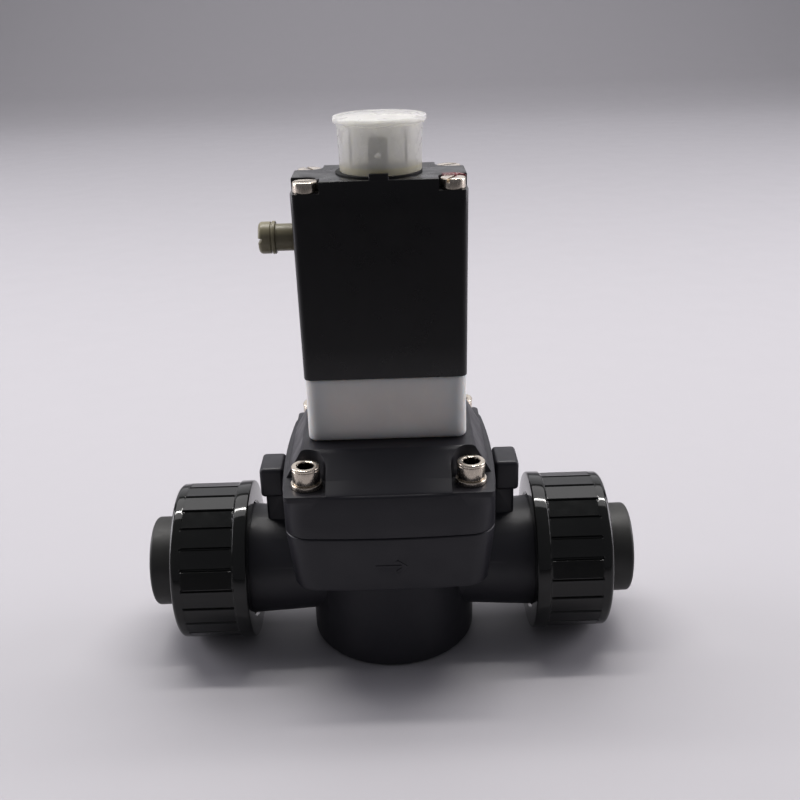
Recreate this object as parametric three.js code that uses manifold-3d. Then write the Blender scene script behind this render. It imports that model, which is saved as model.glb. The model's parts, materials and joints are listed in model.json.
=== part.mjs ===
// Servo-assisted plastic diaphragm solenoid valve with true-union pipe ends.
//
// Units are millimetres and +Z is up. The pipe runs along X and the front faces -Y.
// The origin is the centre of the underside of the round base.
// Everything is drawn closed: diaphragm on its seat, coil off, override at rest, unions tight.

import * as THREE from "three";
import { mergeVertices } from "three/addons/utils/BufferGeometryUtils.js";
import Module from "manifold-3d";

// ---------------------------------------------------------------- driving dimensions

const FIT = 0.1; // gap left between pieces that touch
const TURN = 2 * Math.PI;

// Heights of the horizontal joints, from the bottom up
const PIPE_Z = 30;
const BODY_FLANGE_Z = 36;
const JOINT_Z = 57.7;
const BONNET_TOP_Z = 74;
const PLATFORM_Z = 84.5;
const PILOT_TOP_Z = 107.5;
const NOTCH_Z = 170.6;
const HOUSING_TOP_Z = 174.4;

// Square flanges: the sides bulge from the corners to the middle
const FLANGE_HALF_MIDDLE = 37.5;
const FLANGE_HALF_CORNER = 36.4;
const FLANGE_CORNER_R = 9.5;
const BODY_DRAFT = 0.94; // size of the body flange's underside against its top

// Base, necks and unions
const BASE_R = 30.5;
const NECK_R = 20.6;
const THREAD_R = 20.9;
const NECK_START_X = 53;
const NECK_END_X = 71;
const FLOW_R = 9.5;
const NUT_INNER_X = 51.6;
const NUT_OUTER_X = 79.1;
const NUT_COLLAR_R = 29.5;
const NUT_PANEL_R = 28.8;
const NUT_PANELS = 24;
const UNION_FACE_X = 89;
const UNION_TUBE_R = 16.6;
const SOCKET_R = 12.5;
const SOCKET_DEPTH = 16;
const UNION_RING_R = 14;

// Main diaphragm and its chamber
const DIAPHRAGM_R = 29.5;
const CHAMBER_R = 24;
const CHAMBER_FLOOR_Z = 45;
const SEAT_Z = 54.5;
const CEILING_Z = 68;
const SPRING_SEAT_Z = 71;

// Bonnet screws: M6 socket heads on a square pattern, in brass inserts
const SCREW_XY = 28;
const SCREW_R = 2.95;
const SCREW_HEAD_R = 4.8;
const SCREW_HEAD_H = 6.1;
const SCREW_LENGTH = 29.5;
const WASHER_R = 5.35;
const WASHER_T = 1.6;
const POCKET_R = 6.8;
const INSERT_R = 4.2;
const INSERT_BOTTOM_Z = 45.8;

// Pilot body and coil housing: two blocks of nearly the same plan
const PILOT_HALF_X = 27.2;
const PILOT_HALF_Y = 15.4;
const HOUSING_HALF_X = 28.1;
const HOUSING_HALF_Y = 16;
const BLOCK_CORNER_R = 3.5;

// Long housing screws: M4 cheese heads let into the top corners
const LONG_SCREW_X = 23.6;
const LONG_SCREW_Y = 11.8;
const LONG_SCREW_R = 2;
const LONG_HEAD_R = 4.1;
const LONG_HEAD_H = 3.45;
const LONG_SCREW_END_Z = 76;
const NOTCH_R = 4.7;

// Pilot passages
const CONTROL_PORT_X = 12;
const CONTROL_PORT_Y = 4;
const RETURN_PORT_X = 24;
const RETURN_JOINT_X = 33.4;
const NOZZLE_X = -3;
const NOZZLE_TOP_Z = 98.5;
const PILOT_FLOOR_Z = 96;
const PASSAGE_R = 1.2;
const PORT_RECESS_R = 2.6;
const PORT_RING_R = 1.85;
const PORT_RING_SECTION_R = 0.5;

// Rocker in the pilot chamber
const ROCKER_X = 6;
const ROCKER_Z = 102;
const ROCKER_BOTTOM_Z = 100.5;
const ROCKER_TOP_Z = 103.5;
const ROCKER_PIN_R = 1;
const ROCKER_PIN_HALF_Y = 8;
const SEPARATOR_Z = 105.6;
const SEPARATOR_X = 5.5;
const SEPARATOR_HALF_X = 17.3;
const SEPARATOR_HALF_Y = 9.8;

// Solenoid: fixed core in a bent yoke, plate armature on a pin above it
const CAVITY_HALF_X = 20;
const CAVITY_HALF_Y = 13.5;
const CAVITY_TOP_Z = 168.5;
const YOKE_Z = 114;
const YOKE_T = 2.5;
const YOKE_LEG_X = -17.5;
const YOKE_HALF_Y = 10;
const CORE_R = 4.6;
const CORE_TOP_Z = 153.7;
const BOBBIN_R = 11.2;
const BOBBIN_TOP_Z = 150.6;
const ARMATURE_Z = 154.7;
const ARMATURE_T = 2.8;
const ARMATURE_HALF_Y = 8.3;
const PIVOT_X = -16.25;
const PIVOT_Z = ARMATURE_Z + ARMATURE_T / 2;
const PUSH_ROD_X = 14.5;

// Manual override through the left wall of the housing
const OVERRIDE_Z = 153.6;
const OVERRIDE_TIP_X = -40.9;
const OVERRIDE_HEAD_X = -35.2;
const OVERRIDE_HEAD_R = 5.5;
const OVERRIDE_NECK_R = 4.6;
const OVERRIDE_SHAFT_R = 3.6;

// Plug contacts and dust cap on top
const BLADE_OFFSET = 9;
const BLADE_WIDTH = 6.3;
const BLADE_T = 0.8;
const BLADE_BOTTOM_Z = 165;
const BLADE_TOP_Z = 186.8;
const BLADE_HOLE_Z = 180.9;
const PLUG_INSERT_R = 2.5;
const GASKET_TOP_Z = 175;
const CAP_R = 14;
const CAP_RIM_R = 15.2;
const CAP_RIM_Z = 190.7;
const CAP_TOP_Z = 193.4;

// Mounting lugs beside the bonnet
const LUG_INNER_X = 38.2;
const LUG_OUTER_X = 47;
const LUG_TOP_Z = 70.5;
const LUG_BOTTOM_Z = 59;
const LUG_HALF_Y = 7.2;

// ---------------------------------------------------------------- materials

function material(colour, roughness, metalness = 0) {
  return new THREE.MeshStandardMaterial({ color: colour, roughness, metalness });
}

const BODY_PLASTIC = material(0x2b2c33, 0.5);
const NUT_PLASTIC = material(0x131413, 0.25);
const PILOT_PLASTIC = material(0xb3aca4, 0.55);
const HOUSING_PLASTIC = material(0x111113, 0.4);
const OVERRIDE_PLASTIC = material(0x78735a, 0.5);
const CAP_PLASTIC = material(0xdcdad4, 0.4);
const BOBBIN_PLASTIC = material(0xd8d0b8, 0.6);
const RUBBER = material(0x1a1a1a, 0.85);
const STEEL = material(0xa59f95, 0.35, 1);
const SOFT_IRON = material(0x8d8c88, 0.45, 1);
const BRASS = material(0xb79a4c, 0.4, 1);
const COPPER = material(0xa55a2c, 0.4, 1);
const TINNED = material(0x8a887c, 0.4, 1);

// ---------------------------------------------------------------- solids and booleans

const wasm = await Module();
wasm.setup();

// A closed three.js geometry as a manifold solid.
function solid(geometry) {
  const bare = geometry.clone();
  bare.deleteAttribute("normal");
  bare.deleteAttribute("uv");
  const merged = mergeVertices(bare, 1e-4);
  return new wasm.Manifold(
    new wasm.Mesh({
      numProp: 3,
      vertProperties: merged.attributes.position.array,
      triVerts: new Uint32Array(merged.index.array),
    }),
  );
}

// A manifold solid as a three.js geometry.
function surface(made) {
  const mesh = made.getMesh();
  const geometry = new THREE.BufferGeometry();
  geometry.setAttribute("position", new THREE.BufferAttribute(mesh.vertProperties, 3));
  geometry.setIndex(new THREE.BufferAttribute(mesh.triVerts, 1));
  geometry.computeVertexNormals();
  return geometry;
}

function join(...geometries) {
  return surface(geometries.map(solid).reduce((a, b) => a.add(b)));
}

function cut(geometry, ...tools) {
  return surface(tools.map(solid).reduce((a, b) => a.subtract(b), solid(geometry)));
}

function common(a, b) {
  return surface(solid(a).intersect(solid(b)));
}

// A box between two corners.
function block(low, high) {
  const size = high.map((h, i) => h - low[i]);
  const middle = high.map((h, i) => (h + low[i]) / 2);
  return new THREE.BoxGeometry(...size).translate(...middle);
}

// A cylinder of radius r between two points.
function rod(from, to, r, segments = 14) {
  const a = new THREE.Vector3(...from);
  const b = new THREE.Vector3(...to);
  const along = b.clone().sub(a);
  const turn = new THREE.Quaternion().setFromUnitVectors(
    new THREE.Vector3(0, 1, 0),
    along.clone().normalize(),
  );
  return new THREE.CylinderGeometry(r, r, along.length(), segments)
    .applyQuaternion(turn)
    .translate(...a.add(b).multiplyScalar(0.5));
}

// A many-sided hole whose flats clear a round shaft of radius r.
function bore(from, to, r, segments = 12) {
  return rod(from, to, r / Math.cos(Math.PI / segments), segments);
}

// A profile of [radius, height] points turned about +Z.
function turned(points, segments = 20) {
  const profile = points.map(([r, z]) => new THREE.Vector2(r, z));
  return new THREE.LatheGeometry(profile, segments).rotateX(Math.PI / 2);
}

// A profile of [radius, distance] points turned about the pipe axis, on the side given by its sign.
function turnedOnPipe(points, side, segments = 28) {
  const profile = points.map(([r, x]) => new THREE.Vector2(r, x));
  return new THREE.LatheGeometry(profile, segments)
    .rotateZ((-side * Math.PI) / 2)
    .translate(0, 0, PIPE_Z);
}

// A flat ring between two radii and two heights, as a closed lathe profile.
function ringProfile(inner, outer, low, high) {
  return [
    [inner, low],
    [outer, low],
    [outer, high],
    [inner, high],
    [inner, low],
  ];
}

// A round-section ring lying flat.
function oRing(radius, sectionR, z, segments = 12) {
  return new THREE.TorusGeometry(radius, sectionR, 6, segments).translate(0, 0, z);
}

// The small sealing ring that each passage has where it crosses a joint.
function portRing(z) {
  return oRing(PORT_RING_R, PORT_RING_SECTION_R, z);
}

// The narrow bore of a pilot passage.
function passage(from, to) {
  return rod(from, to, PASSAGE_R, 8);
}

// A shape in XY raised between two heights.
function extrudedUp(shape, low, high, curveSegments = 4) {
  const options = { depth: high - low, bevelEnabled: false, curveSegments };
  return new THREE.ExtrudeGeometry(shape, options).translate(0, 0, low);
}

function roundedRectangle(halfX, halfY, r) {
  const shape = new THREE.Shape();
  shape.moveTo(halfX, -halfY + r);
  shape.lineTo(halfX, halfY - r);
  shape.absarc(halfX - r, halfY - r, r, 0, TURN / 4);
  shape.absarc(-halfX + r, halfY - r, r, TURN / 4, TURN / 2);
  shape.absarc(-halfX + r, -halfY + r, r, TURN / 2, (3 * TURN) / 4);
  shape.absarc(halfX - r, -halfY + r, r, (3 * TURN) / 4, TURN);
  return shape;
}

// A helical wire from one height to another.
class Helix extends THREE.Curve {
  constructor(radius, low, high, turns) {
    super();
    Object.assign(this, { radius, low, high, turns });
  }
  getPoint(t, target = new THREE.Vector3()) {
    const angle = t * this.turns * TURN;
    const z = this.low + (this.high - this.low) * t;
    return target.set(this.radius * Math.cos(angle), this.radius * Math.sin(angle), z);
  }
}

function spring(radius, wireR, low, high, turns) {
  const path = new Helix(radius, low + wireR, high - wireR, turns);
  const section = new THREE.Shape().absarc(0, 0, wireR, 0, TURN);
  const steps = Math.round(turns * 12);
  return new THREE.ExtrudeGeometry(section, { extrudePath: path, steps, curveSegments: 3 });
}

// ---------------------------------------------------------------- scene graph

const valve = new THREE.Group();

function add(name, geometry, finish, x = 0, y = 0, z = 0) {
  const mesh = new THREE.Mesh(geometry, finish);
  mesh.name = name;
  mesh.position.set(x, y, z);
  valve.add(mesh);
  return mesh;
}

const SIDES = [
  { name: "left", side: -1 },
  { name: "right", side: 1 },
];

const CORNERS = [
  [-1, -1],
  [1, -1],
  [1, 1],
  [-1, 1],
];

// ---------------------------------------------------------------- body and bonnet

// The square with bulging sides that the body flange and the bonnet share.
function flangeShape() {
  const corner = FLANGE_HALF_CORNER - FLANGE_CORNER_R;
  const control = 2 * FLANGE_HALF_MIDDLE - FLANGE_HALF_CORNER;
  const shape = new THREE.Shape();
  shape.moveTo(corner, -FLANGE_HALF_CORNER);
  shape.absarc(corner, -corner, FLANGE_CORNER_R, (3 * TURN) / 4, TURN);
  shape.quadraticCurveTo(control, 0, FLANGE_HALF_CORNER, corner);
  shape.absarc(corner, corner, FLANGE_CORNER_R, 0, TURN / 4);
  shape.quadraticCurveTo(0, control, -corner, FLANGE_HALF_CORNER);
  shape.absarc(-corner, corner, FLANGE_CORNER_R, TURN / 4, TURN / 2);
  shape.quadraticCurveTo(-control, 0, -FLANGE_HALF_CORNER, -corner);
  shape.absarc(-corner, -corner, FLANGE_CORNER_R, TURN / 2, (3 * TURN) / 4);
  shape.quadraticCurveTo(0, -control, corner, -FLANGE_HALF_CORNER);
  return shape;
}

// The body flange narrows towards its underside.
function draftedFlange() {
  const geometry = extrudedUp(flangeShape(), BODY_FLANGE_Z, JOINT_Z);
  const at = geometry.attributes.position;
  for (let i = 0; i < at.count; i += 1) {
    const share = (at.getZ(i) - BODY_FLANGE_Z) / (JOINT_Z - BODY_FLANGE_Z);
    const scale = BODY_DRAFT + (1 - BODY_DRAFT) * share;
    at.setXY(i, at.getX(i) * scale, at.getY(i) * scale);
  }
  return geometry;
}

function neck(side) {
  const rootX = 20;
  const chamfer = 1;
  return turnedOnPipe(
    [
      [0, rootX],
      [NECK_R - 1.8, rootX],
      [NECK_R, NECK_START_X],
      [THREAD_R, NECK_START_X + chamfer],
      [THREAD_R, NECK_END_X - chamfer],
      [THREAD_R - chamfer, NECK_END_X],
      [0, NECK_END_X],
    ],
    side,
  );
}

// A block on a narrower column that rises from the neck, just clear of the bonnet.
function lug(side) {
  const span = [LUG_INNER_X * side, LUG_OUTER_X * side].sort((a, b) => a - b);
  const step = 1.6;
  const columnSpan = [LUG_INNER_X * side, (LUG_OUTER_X - step) * side].sort((a, b) => a - b);
  const columnHalfY = LUG_HALF_Y - step;
  return join(
    block([span[0], -LUG_HALF_Y, LUG_BOTTOM_Z], [span[1], LUG_HALF_Y, LUG_TOP_Z]),
    block(
      [columnSpan[0], -columnHalfY, PIPE_Z + 14],
      [columnSpan[1], columnHalfY, LUG_BOTTOM_Z + 1],
    ),
  );
}

// The ring chamber round the seat, with the seat's own tube standing in it.
function seatChamber() {
  const seatR = FLOW_R + 3;
  const floorZ = CHAMBER_FLOOR_Z;
  return turned(
    [
      [seatR, floorZ],
      [CHAMBER_R, floorZ],
      [CHAMBER_R, JOINT_Z + 1],
      [0, JOINT_Z + 1],
      [0, SEAT_Z],
      [seatR - 1.2, SEAT_Z],
      [seatR, SEAT_Z - 1.2],
      [seatR, floorZ],
    ],
    28,
  );
}

function valveBody() {
  const grooveHalf = 1.6;
  const inletEndX = -14;
  const recessDepth = 1.6;
  const corners = CORNERS.map(([sx, sy]) => [sx * SCREW_XY, sy * SCREW_XY]);
  const whole = join(
    turned(
      [
        [0, 0],
        [BASE_R - 1, 0],
        [BASE_R, 1],
        [BASE_R, BODY_FLANGE_Z + 2],
        [0, BODY_FLANGE_Z + 2],
      ],
      40,
    ),
    draftedFlange(),
    neck(-1),
    neck(1),
    lug(-1),
    lug(1),
  );
  const riserX = -18;
  const riserR = 5.5;
  const inlet = [
    rod([-NECK_END_X - 1, 0, PIPE_Z], [inletEndX, 0, PIPE_Z], FLOW_R, 20),
    rod([riserX, 0, PIPE_Z], [riserX, 0, CHAMBER_FLOOR_Z + 2], riserR, 16),
  ];
  const outlet = [
    rod([0, 0, PIPE_Z], [NECK_END_X + 1, 0, PIPE_Z], FLOW_R, 20),
    rod([0, 0, PIPE_Z], [0, 0, SEAT_Z + 1], FLOW_R, 20),
  ];
  const grooveProfile = ringProfile(
    UNION_RING_R - grooveHalf,
    UNION_RING_R + grooveHalf,
    NECK_END_X - 2.6,
    NECK_END_X + 1,
  );
  const seals = [-1, 1].map((side) => turnedOnPipe(grooveProfile, side));
  return cut(
    whole,
    seatChamber(),
    rod([0, 0, JOINT_Z - recessDepth], [0, 0, JOINT_Z + 1], DIAPHRAGM_R + 0.2, 28),
    ...inlet,
    ...outlet,
    ...seals,
    passage([RETURN_JOINT_X, 0, PIPE_Z], [RETURN_JOINT_X, 0, JOINT_Z + 1]),
    rod([RETURN_JOINT_X, 0, JOINT_Z - 1.1], [RETURN_JOINT_X, 0, JOINT_Z + 1], PORT_RECESS_R, 14),
    ...corners.map(([x, y]) =>
      bore([x, y, INSERT_BOTTOM_Z - FIT], [x, y, JOINT_Z + 1], INSERT_R + 0.05),
    ),
  );
}

// Front and back of the roof: one slope up to the eased edge of the flat platform.
function roofAcross() {
  const toeY = FLANGE_HALF_CORNER + 0.3;
  const side = [
    [toeY, BONNET_TOP_Z],
    [22.9, 83.9],
    [21.8, PLATFORM_Z],
  ];
  const outline = [
    [toeY, BONNET_TOP_Z - 2],
    ...side,
    ...side.map(([y, z]) => [-y, z]).reverse(),
    [-toeY, BONNET_TOP_Z - 2],
  ];
  const shape = new THREE.Shape(outline.map(([y, z]) => new THREE.Vector2(y, z)));
  const options = { depth: 2 * FLANGE_HALF_MIDDLE, bevelEnabled: false };
  return new THREE.ExtrudeGeometry(shape, options)
    .translate(0, 0, -FLANGE_HALF_MIDDLE)
    .rotateX(Math.PI / 2)
    .rotateZ(Math.PI / 2);
}

// Left and right flanks of the roof: steeper, with the same eased edge.
function roofAlong() {
  const flank = [
    [35.5, BONNET_TOP_Z],
    [30, 83.8],
    [29.3, PLATFORM_Z],
  ];
  const outline = [
    [35.5, BONNET_TOP_Z - 2],
    ...flank,
    ...flank.map(([x, z]) => [-x, z]).reverse(),
    [-35.5, BONNET_TOP_Z - 2],
  ];
  const shape = new THREE.Shape(outline.map(([x, z]) => new THREE.Vector2(x, z)));
  const options = { depth: 2 * FLANGE_HALF_MIDDLE, bevelEnabled: false };
  return new THREE.ExtrudeGeometry(shape, options)
    .translate(0, 0, -FLANGE_HALF_MIDDLE)
    .rotateX(Math.PI / 2);
}

// The corner of the roof that is cut away round a screw, open to both outer sides.
function screwPocket(sx, sy) {
  const inner = SCREW_XY - POCKET_R;
  const far = 2 * SCREW_XY;
  const shape = new THREE.Shape();
  shape.moveTo(far, far);
  shape.lineTo(inner, far);
  shape.lineTo(inner, SCREW_XY);
  shape.absarc(SCREW_XY, SCREW_XY, POCKET_R, TURN / 2, (3 * TURN) / 4);
  shape.lineTo(far, inner);
  const quarter = Math.atan2(sy, sx) - TURN / 8;
  return extrudedUp(shape, BONNET_TOP_Z, PLATFORM_Z + 1).rotateZ(quarter);
}

function bonnet() {
  const recessDepth = 1.6;
  const springSeatR = 9;
  const envelope = extrudedUp(flangeShape(), JOINT_Z, PLATFORM_Z + 1);
  const roof = common(common(roofAcross(), roofAlong()), envelope);
  const shell = cut(
    join(extrudedUp(flangeShape(), JOINT_Z, BONNET_TOP_Z), roof),
    ...CORNERS.map(([sx, sy]) => screwPocket(sx, sy)),
  );
  return cut(
    shell,
    rod([0, 0, JOINT_Z - 1], [0, 0, JOINT_Z + recessDepth], DIAPHRAGM_R + 0.2, 28),
    rod([0, 0, JOINT_Z - 1], [0, 0, CEILING_Z], CHAMBER_R - 0.5, 28),
    rod([0, 0, CEILING_Z - 1], [0, 0, SPRING_SEAT_Z], springSeatR, 24),
    passage([CONTROL_PORT_X, CONTROL_PORT_Y, CEILING_Z - 1], [CONTROL_PORT_X, CONTROL_PORT_Y, 90]),
    passage([RETURN_PORT_X, 0, PLATFORM_Z + 1], [RETURN_JOINT_X, 0, JOINT_Z - 1]),
    ...CORNERS.map(([sx, sy]) =>
      bore(
        [sx * SCREW_XY, sy * SCREW_XY, JOINT_Z - 1],
        [sx * SCREW_XY, sy * SCREW_XY, BONNET_TOP_Z + 1],
        SCREW_R + 0.3,
      ),
    ),
    ...CORNERS.map(([sx, sy]) =>
      bore(
        [sx * LONG_SCREW_X, sy * LONG_SCREW_Y, LONG_SCREW_END_Z - 0.5],
        [sx * LONG_SCREW_X, sy * LONG_SCREW_Y, 90],
        LONG_SCREW_R + 0.05,
      ),
    ),
  );
}

// ---------------------------------------------------------------- fasteners

function socketHeadScrew() {
  const chamfer = 0.5;
  const headTop = SCREW_HEAD_H;
  const screw = turned(
    [
      [0, -SCREW_LENGTH],
      [SCREW_R - chamfer, -SCREW_LENGTH],
      [SCREW_R, -SCREW_LENGTH + chamfer],
      [SCREW_R, 0],
      [SCREW_HEAD_R, 0],
      [SCREW_HEAD_R, headTop - chamfer],
      [SCREW_HEAD_R - chamfer, headTop],
      [0, headTop],
    ],
    16,
  );
  const hexWidth = 5;
  const hexDepth = 3.2;
  const socket = rod([0, 0, headTop - hexDepth], [0, 0, headTop + 1], hexWidth / Math.sqrt(3), 6);
  return cut(screw, socket);
}

function cheeseHeadScrew() {
  const chamfer = 0.4;
  const seatZ = NOTCH_Z + 0.05;
  const length = seatZ - LONG_SCREW_END_Z;
  const slotHalf = 0.5;
  const screw = turned(
    [
      [0, -length],
      [LONG_SCREW_R - chamfer, -length],
      [LONG_SCREW_R, -length + chamfer],
      [LONG_SCREW_R, 0],
      [LONG_HEAD_R, 0],
      [LONG_HEAD_R, LONG_HEAD_H - chamfer],
      [LONG_HEAD_R - chamfer, LONG_HEAD_H],
      [0, LONG_HEAD_H],
    ],
    16,
  );
  const slotDepth = 1.3;
  const slot = block(
    [-LONG_HEAD_R - 1, -slotHalf, LONG_HEAD_H - slotDepth],
    [LONG_HEAD_R + 1, slotHalf, LONG_HEAD_H + 1],
  );
  return cut(screw, slot);
}

function addFasteners() {
  const washerZ = BONNET_TOP_Z + 0.05;
  const headZ = washerZ + WASHER_T + 0.05;
  const insertTop = JOINT_Z - 0.2;
  const washerHoleR = 3.15;
  const longHeadZ = NOTCH_Z + 0.05;
  const slotAngles = [0.35, -0.6, 1.1, 0.1];
  CORNERS.forEach(([sx, sy], i) => {
    const x = sx * SCREW_XY;
    const y = sy * SCREW_XY;
    add(`bonnet_screw_${i + 1}`, socketHeadScrew(), STEEL, x, y, headZ);
    const washer = turned(ringProfile(washerHoleR, WASHER_R, 0, WASHER_T), 16);
    add(`bonnet_washer_${i + 1}`, washer, STEEL, x, y, washerZ);
    const insert = turned(ringProfile(SCREW_R + 0.1, INSERT_R, INSERT_BOTTOM_Z, insertTop), 12);
    add(`threaded_insert_${i + 1}`, insert, BRASS, x, y);
    const longScrew = cheeseHeadScrew().rotateZ(slotAngles[i]);
    add(`housing_screw_${i + 1}`, longScrew, STEEL, sx * LONG_SCREW_X, sy * LONG_SCREW_Y, longHeadZ);
  });
}

// ---------------------------------------------------------------- union ends and nuts

// The nut's grip section: broad panels with a narrow groove between each pair.
function gripShape() {
  const grooveDepth = 0.8;
  const panelShare = 0.84;
  const pitch = TURN / NUT_PANELS;
  const shape = new THREE.Shape();
  for (let i = 0; i < NUT_PANELS; i += 1) {
    const middle = i * pitch;
    const start = middle - (pitch * panelShare) / 2;
    const end = middle + (pitch * panelShare) / 2;
    const points = [
      [NUT_PANEL_R - grooveDepth, start - 0.012],
      [NUT_PANEL_R, start],
      [NUT_PANEL_R, end],
      [NUT_PANEL_R - grooveDepth, end + 0.012],
    ];
    for (const [r, angle] of points) {
      const x = r * Math.cos(angle);
      const y = r * Math.sin(angle);
      if (i === 0 && angle < start) shape.moveTo(x, y);
      else shape.lineTo(x, y);
    }
  }
  return shape;
}

function unionNut(side) {
  const collarEnd = NUT_INNER_X + 5;
  const rimStart = NUT_OUTER_X - 3.2;
  const lipX = NUT_OUTER_X - 2.9;
  const boreR = THREAD_R + 0.25;
  const lipR = UNION_TUBE_R + 0.25;
  const skin = turnedOnPipe(
    [
      [0, NUT_INNER_X],
      [NUT_COLLAR_R - 0.6, NUT_INNER_X],
      [NUT_COLLAR_R, NUT_INNER_X + 0.6],
      [NUT_COLLAR_R, collarEnd],
      [NUT_PANEL_R - 1, collarEnd + 0.3],
      [NUT_PANEL_R - 1, rimStart],
      [NUT_PANEL_R - 0.2, rimStart + 0.2],
      [NUT_PANEL_R - 0.8, NUT_OUTER_X - 1.1],
      [NUT_PANEL_R - 2.4, NUT_OUTER_X],
      [0, NUT_OUTER_X],
    ],
    side,
    36,
  );
  const grip = extrudedUp(gripShape(), collarEnd - 1, rimStart + 1)
    .rotateY((side * Math.PI) / 2)
    .translate(0, 0, PIPE_Z);
  const hollow = turnedOnPipe(
    [
      [0, NUT_INNER_X - 1],
      [boreR, NUT_INNER_X - 1],
      [boreR, lipX],
      [lipR, lipX],
      [lipR, NUT_OUTER_X + 1],
      [0, NUT_OUTER_X + 1],
    ],
    side,
  );
  return cut(join(skin, grip), hollow);
}

function unionEnd(side) {
  const innerX = NECK_END_X + 0.3;
  const collarX = NUT_OUTER_X - 2.9 - FIT;
  const collarR = THREAD_R - 0.9;
  const stopX = UNION_FACE_X - SOCKET_DEPTH;
  const chamfer = 0.8;
  return turnedOnPipe(
    [
      [FLOW_R + 0.5, innerX],
      [collarR, innerX],
      [collarR, collarX],
      [UNION_TUBE_R, collarX],
      [UNION_TUBE_R, UNION_FACE_X - chamfer],
      [UNION_TUBE_R - chamfer, UNION_FACE_X],
      [SOCKET_R + chamfer, UNION_FACE_X],
      [SOCKET_R, UNION_FACE_X - chamfer],
      [SOCKET_R, stopX],
      [FLOW_R + 0.5, stopX],
      [FLOW_R + 0.5, innerX],
    ],
    side,
  );
}

function addUnions() {
  const sealSectionR = 1.35;
  for (const { name, side } of SIDES) {
    const sealX = NECK_END_X - 2.5 + sealSectionR;
    const seal = oRing(UNION_RING_R, sealSectionR, 0, 18)
      .rotateY(Math.PI / 2)
      .translate(side * sealX, 0, PIPE_Z);
    add(`${name}_union_nut`, unionNut(side), NUT_PLASTIC);
    add(`${name}_union_end`, unionEnd(side), BODY_PLASTIC);
    add(`${name}_union_o_ring`, seal, RUBBER);
  }
}

// ---------------------------------------------------------------- main diaphragm

function mainDiaphragm() {
  const rimLow = JOINT_Z - 1.5;
  const rimHigh = JOINT_Z + 1.5;
  const rimR = CHAMBER_R + 0.5;
  const webLow = SEAT_Z + 0.05;
  const webHigh = webLow + 1.9;
  const holeR = 3;
  return turned(
    [
      [holeR, webLow],
      [15, webLow],
      [18, webLow + 0.6],
      [21.5, rimLow + 0.6],
      [rimR, rimLow + 0.4],
      [rimR, rimLow],
      [DIAPHRAGM_R, rimLow],
      [DIAPHRAGM_R, rimHigh],
      [rimR, rimHigh],
      [rimR, rimHigh - 0.4],
      [21, rimHigh - 0.4],
      [17, webHigh + 0.9],
      [15, webHigh],
      [holeR, webHigh],
      [holeR, webLow],
    ],
    24,
  );
}

function addDiaphragm() {
  const webLow = SEAT_Z + 0.05;
  const webHigh = webLow + 1.9;
  const plateLow = webHigh + 0.05;
  const plateHigh = plateLow + 2;
  const clampHigh = webLow - 0.05;
  const clampLow = clampHigh - 2;
  const boltR = 2.4;
  add("main_diaphragm", mainDiaphragm(), RUBBER);
  add("diaphragm_plate", turned(ringProfile(boltR + 0.1, 13.5, plateLow, plateHigh)), SOFT_IRON);
  add("diaphragm_clamp", turned(ringProfile(boltR + 0.1, FLOW_R - 0.8, clampLow, clampHigh)), BODY_PLASTIC);
  const bolt = join(
    rod([0, 0, clampLow - 2], [0, 0, plateHigh + 2.2], boltR),
    rod([0, 0, clampLow - 2.2], [0, 0, clampLow - 0.05], 4.2),
    rod([0, 0, plateHigh + 0.05], [0, 0, plateHigh + 2.2], 4.2, 6),
  );
  add("diaphragm_bolt", bolt, STEEL);
  add("closing_spring", spring(6.6, 0.6, plateHigh + 0.15, SPRING_SEAT_Z - 0.15, 4.5), STEEL);
  add("bonnet_joint_o_ring", portRing(JOINT_Z - 0.55), RUBBER, RETURN_JOINT_X);
}

// ---------------------------------------------------------------- pilot body

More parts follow.
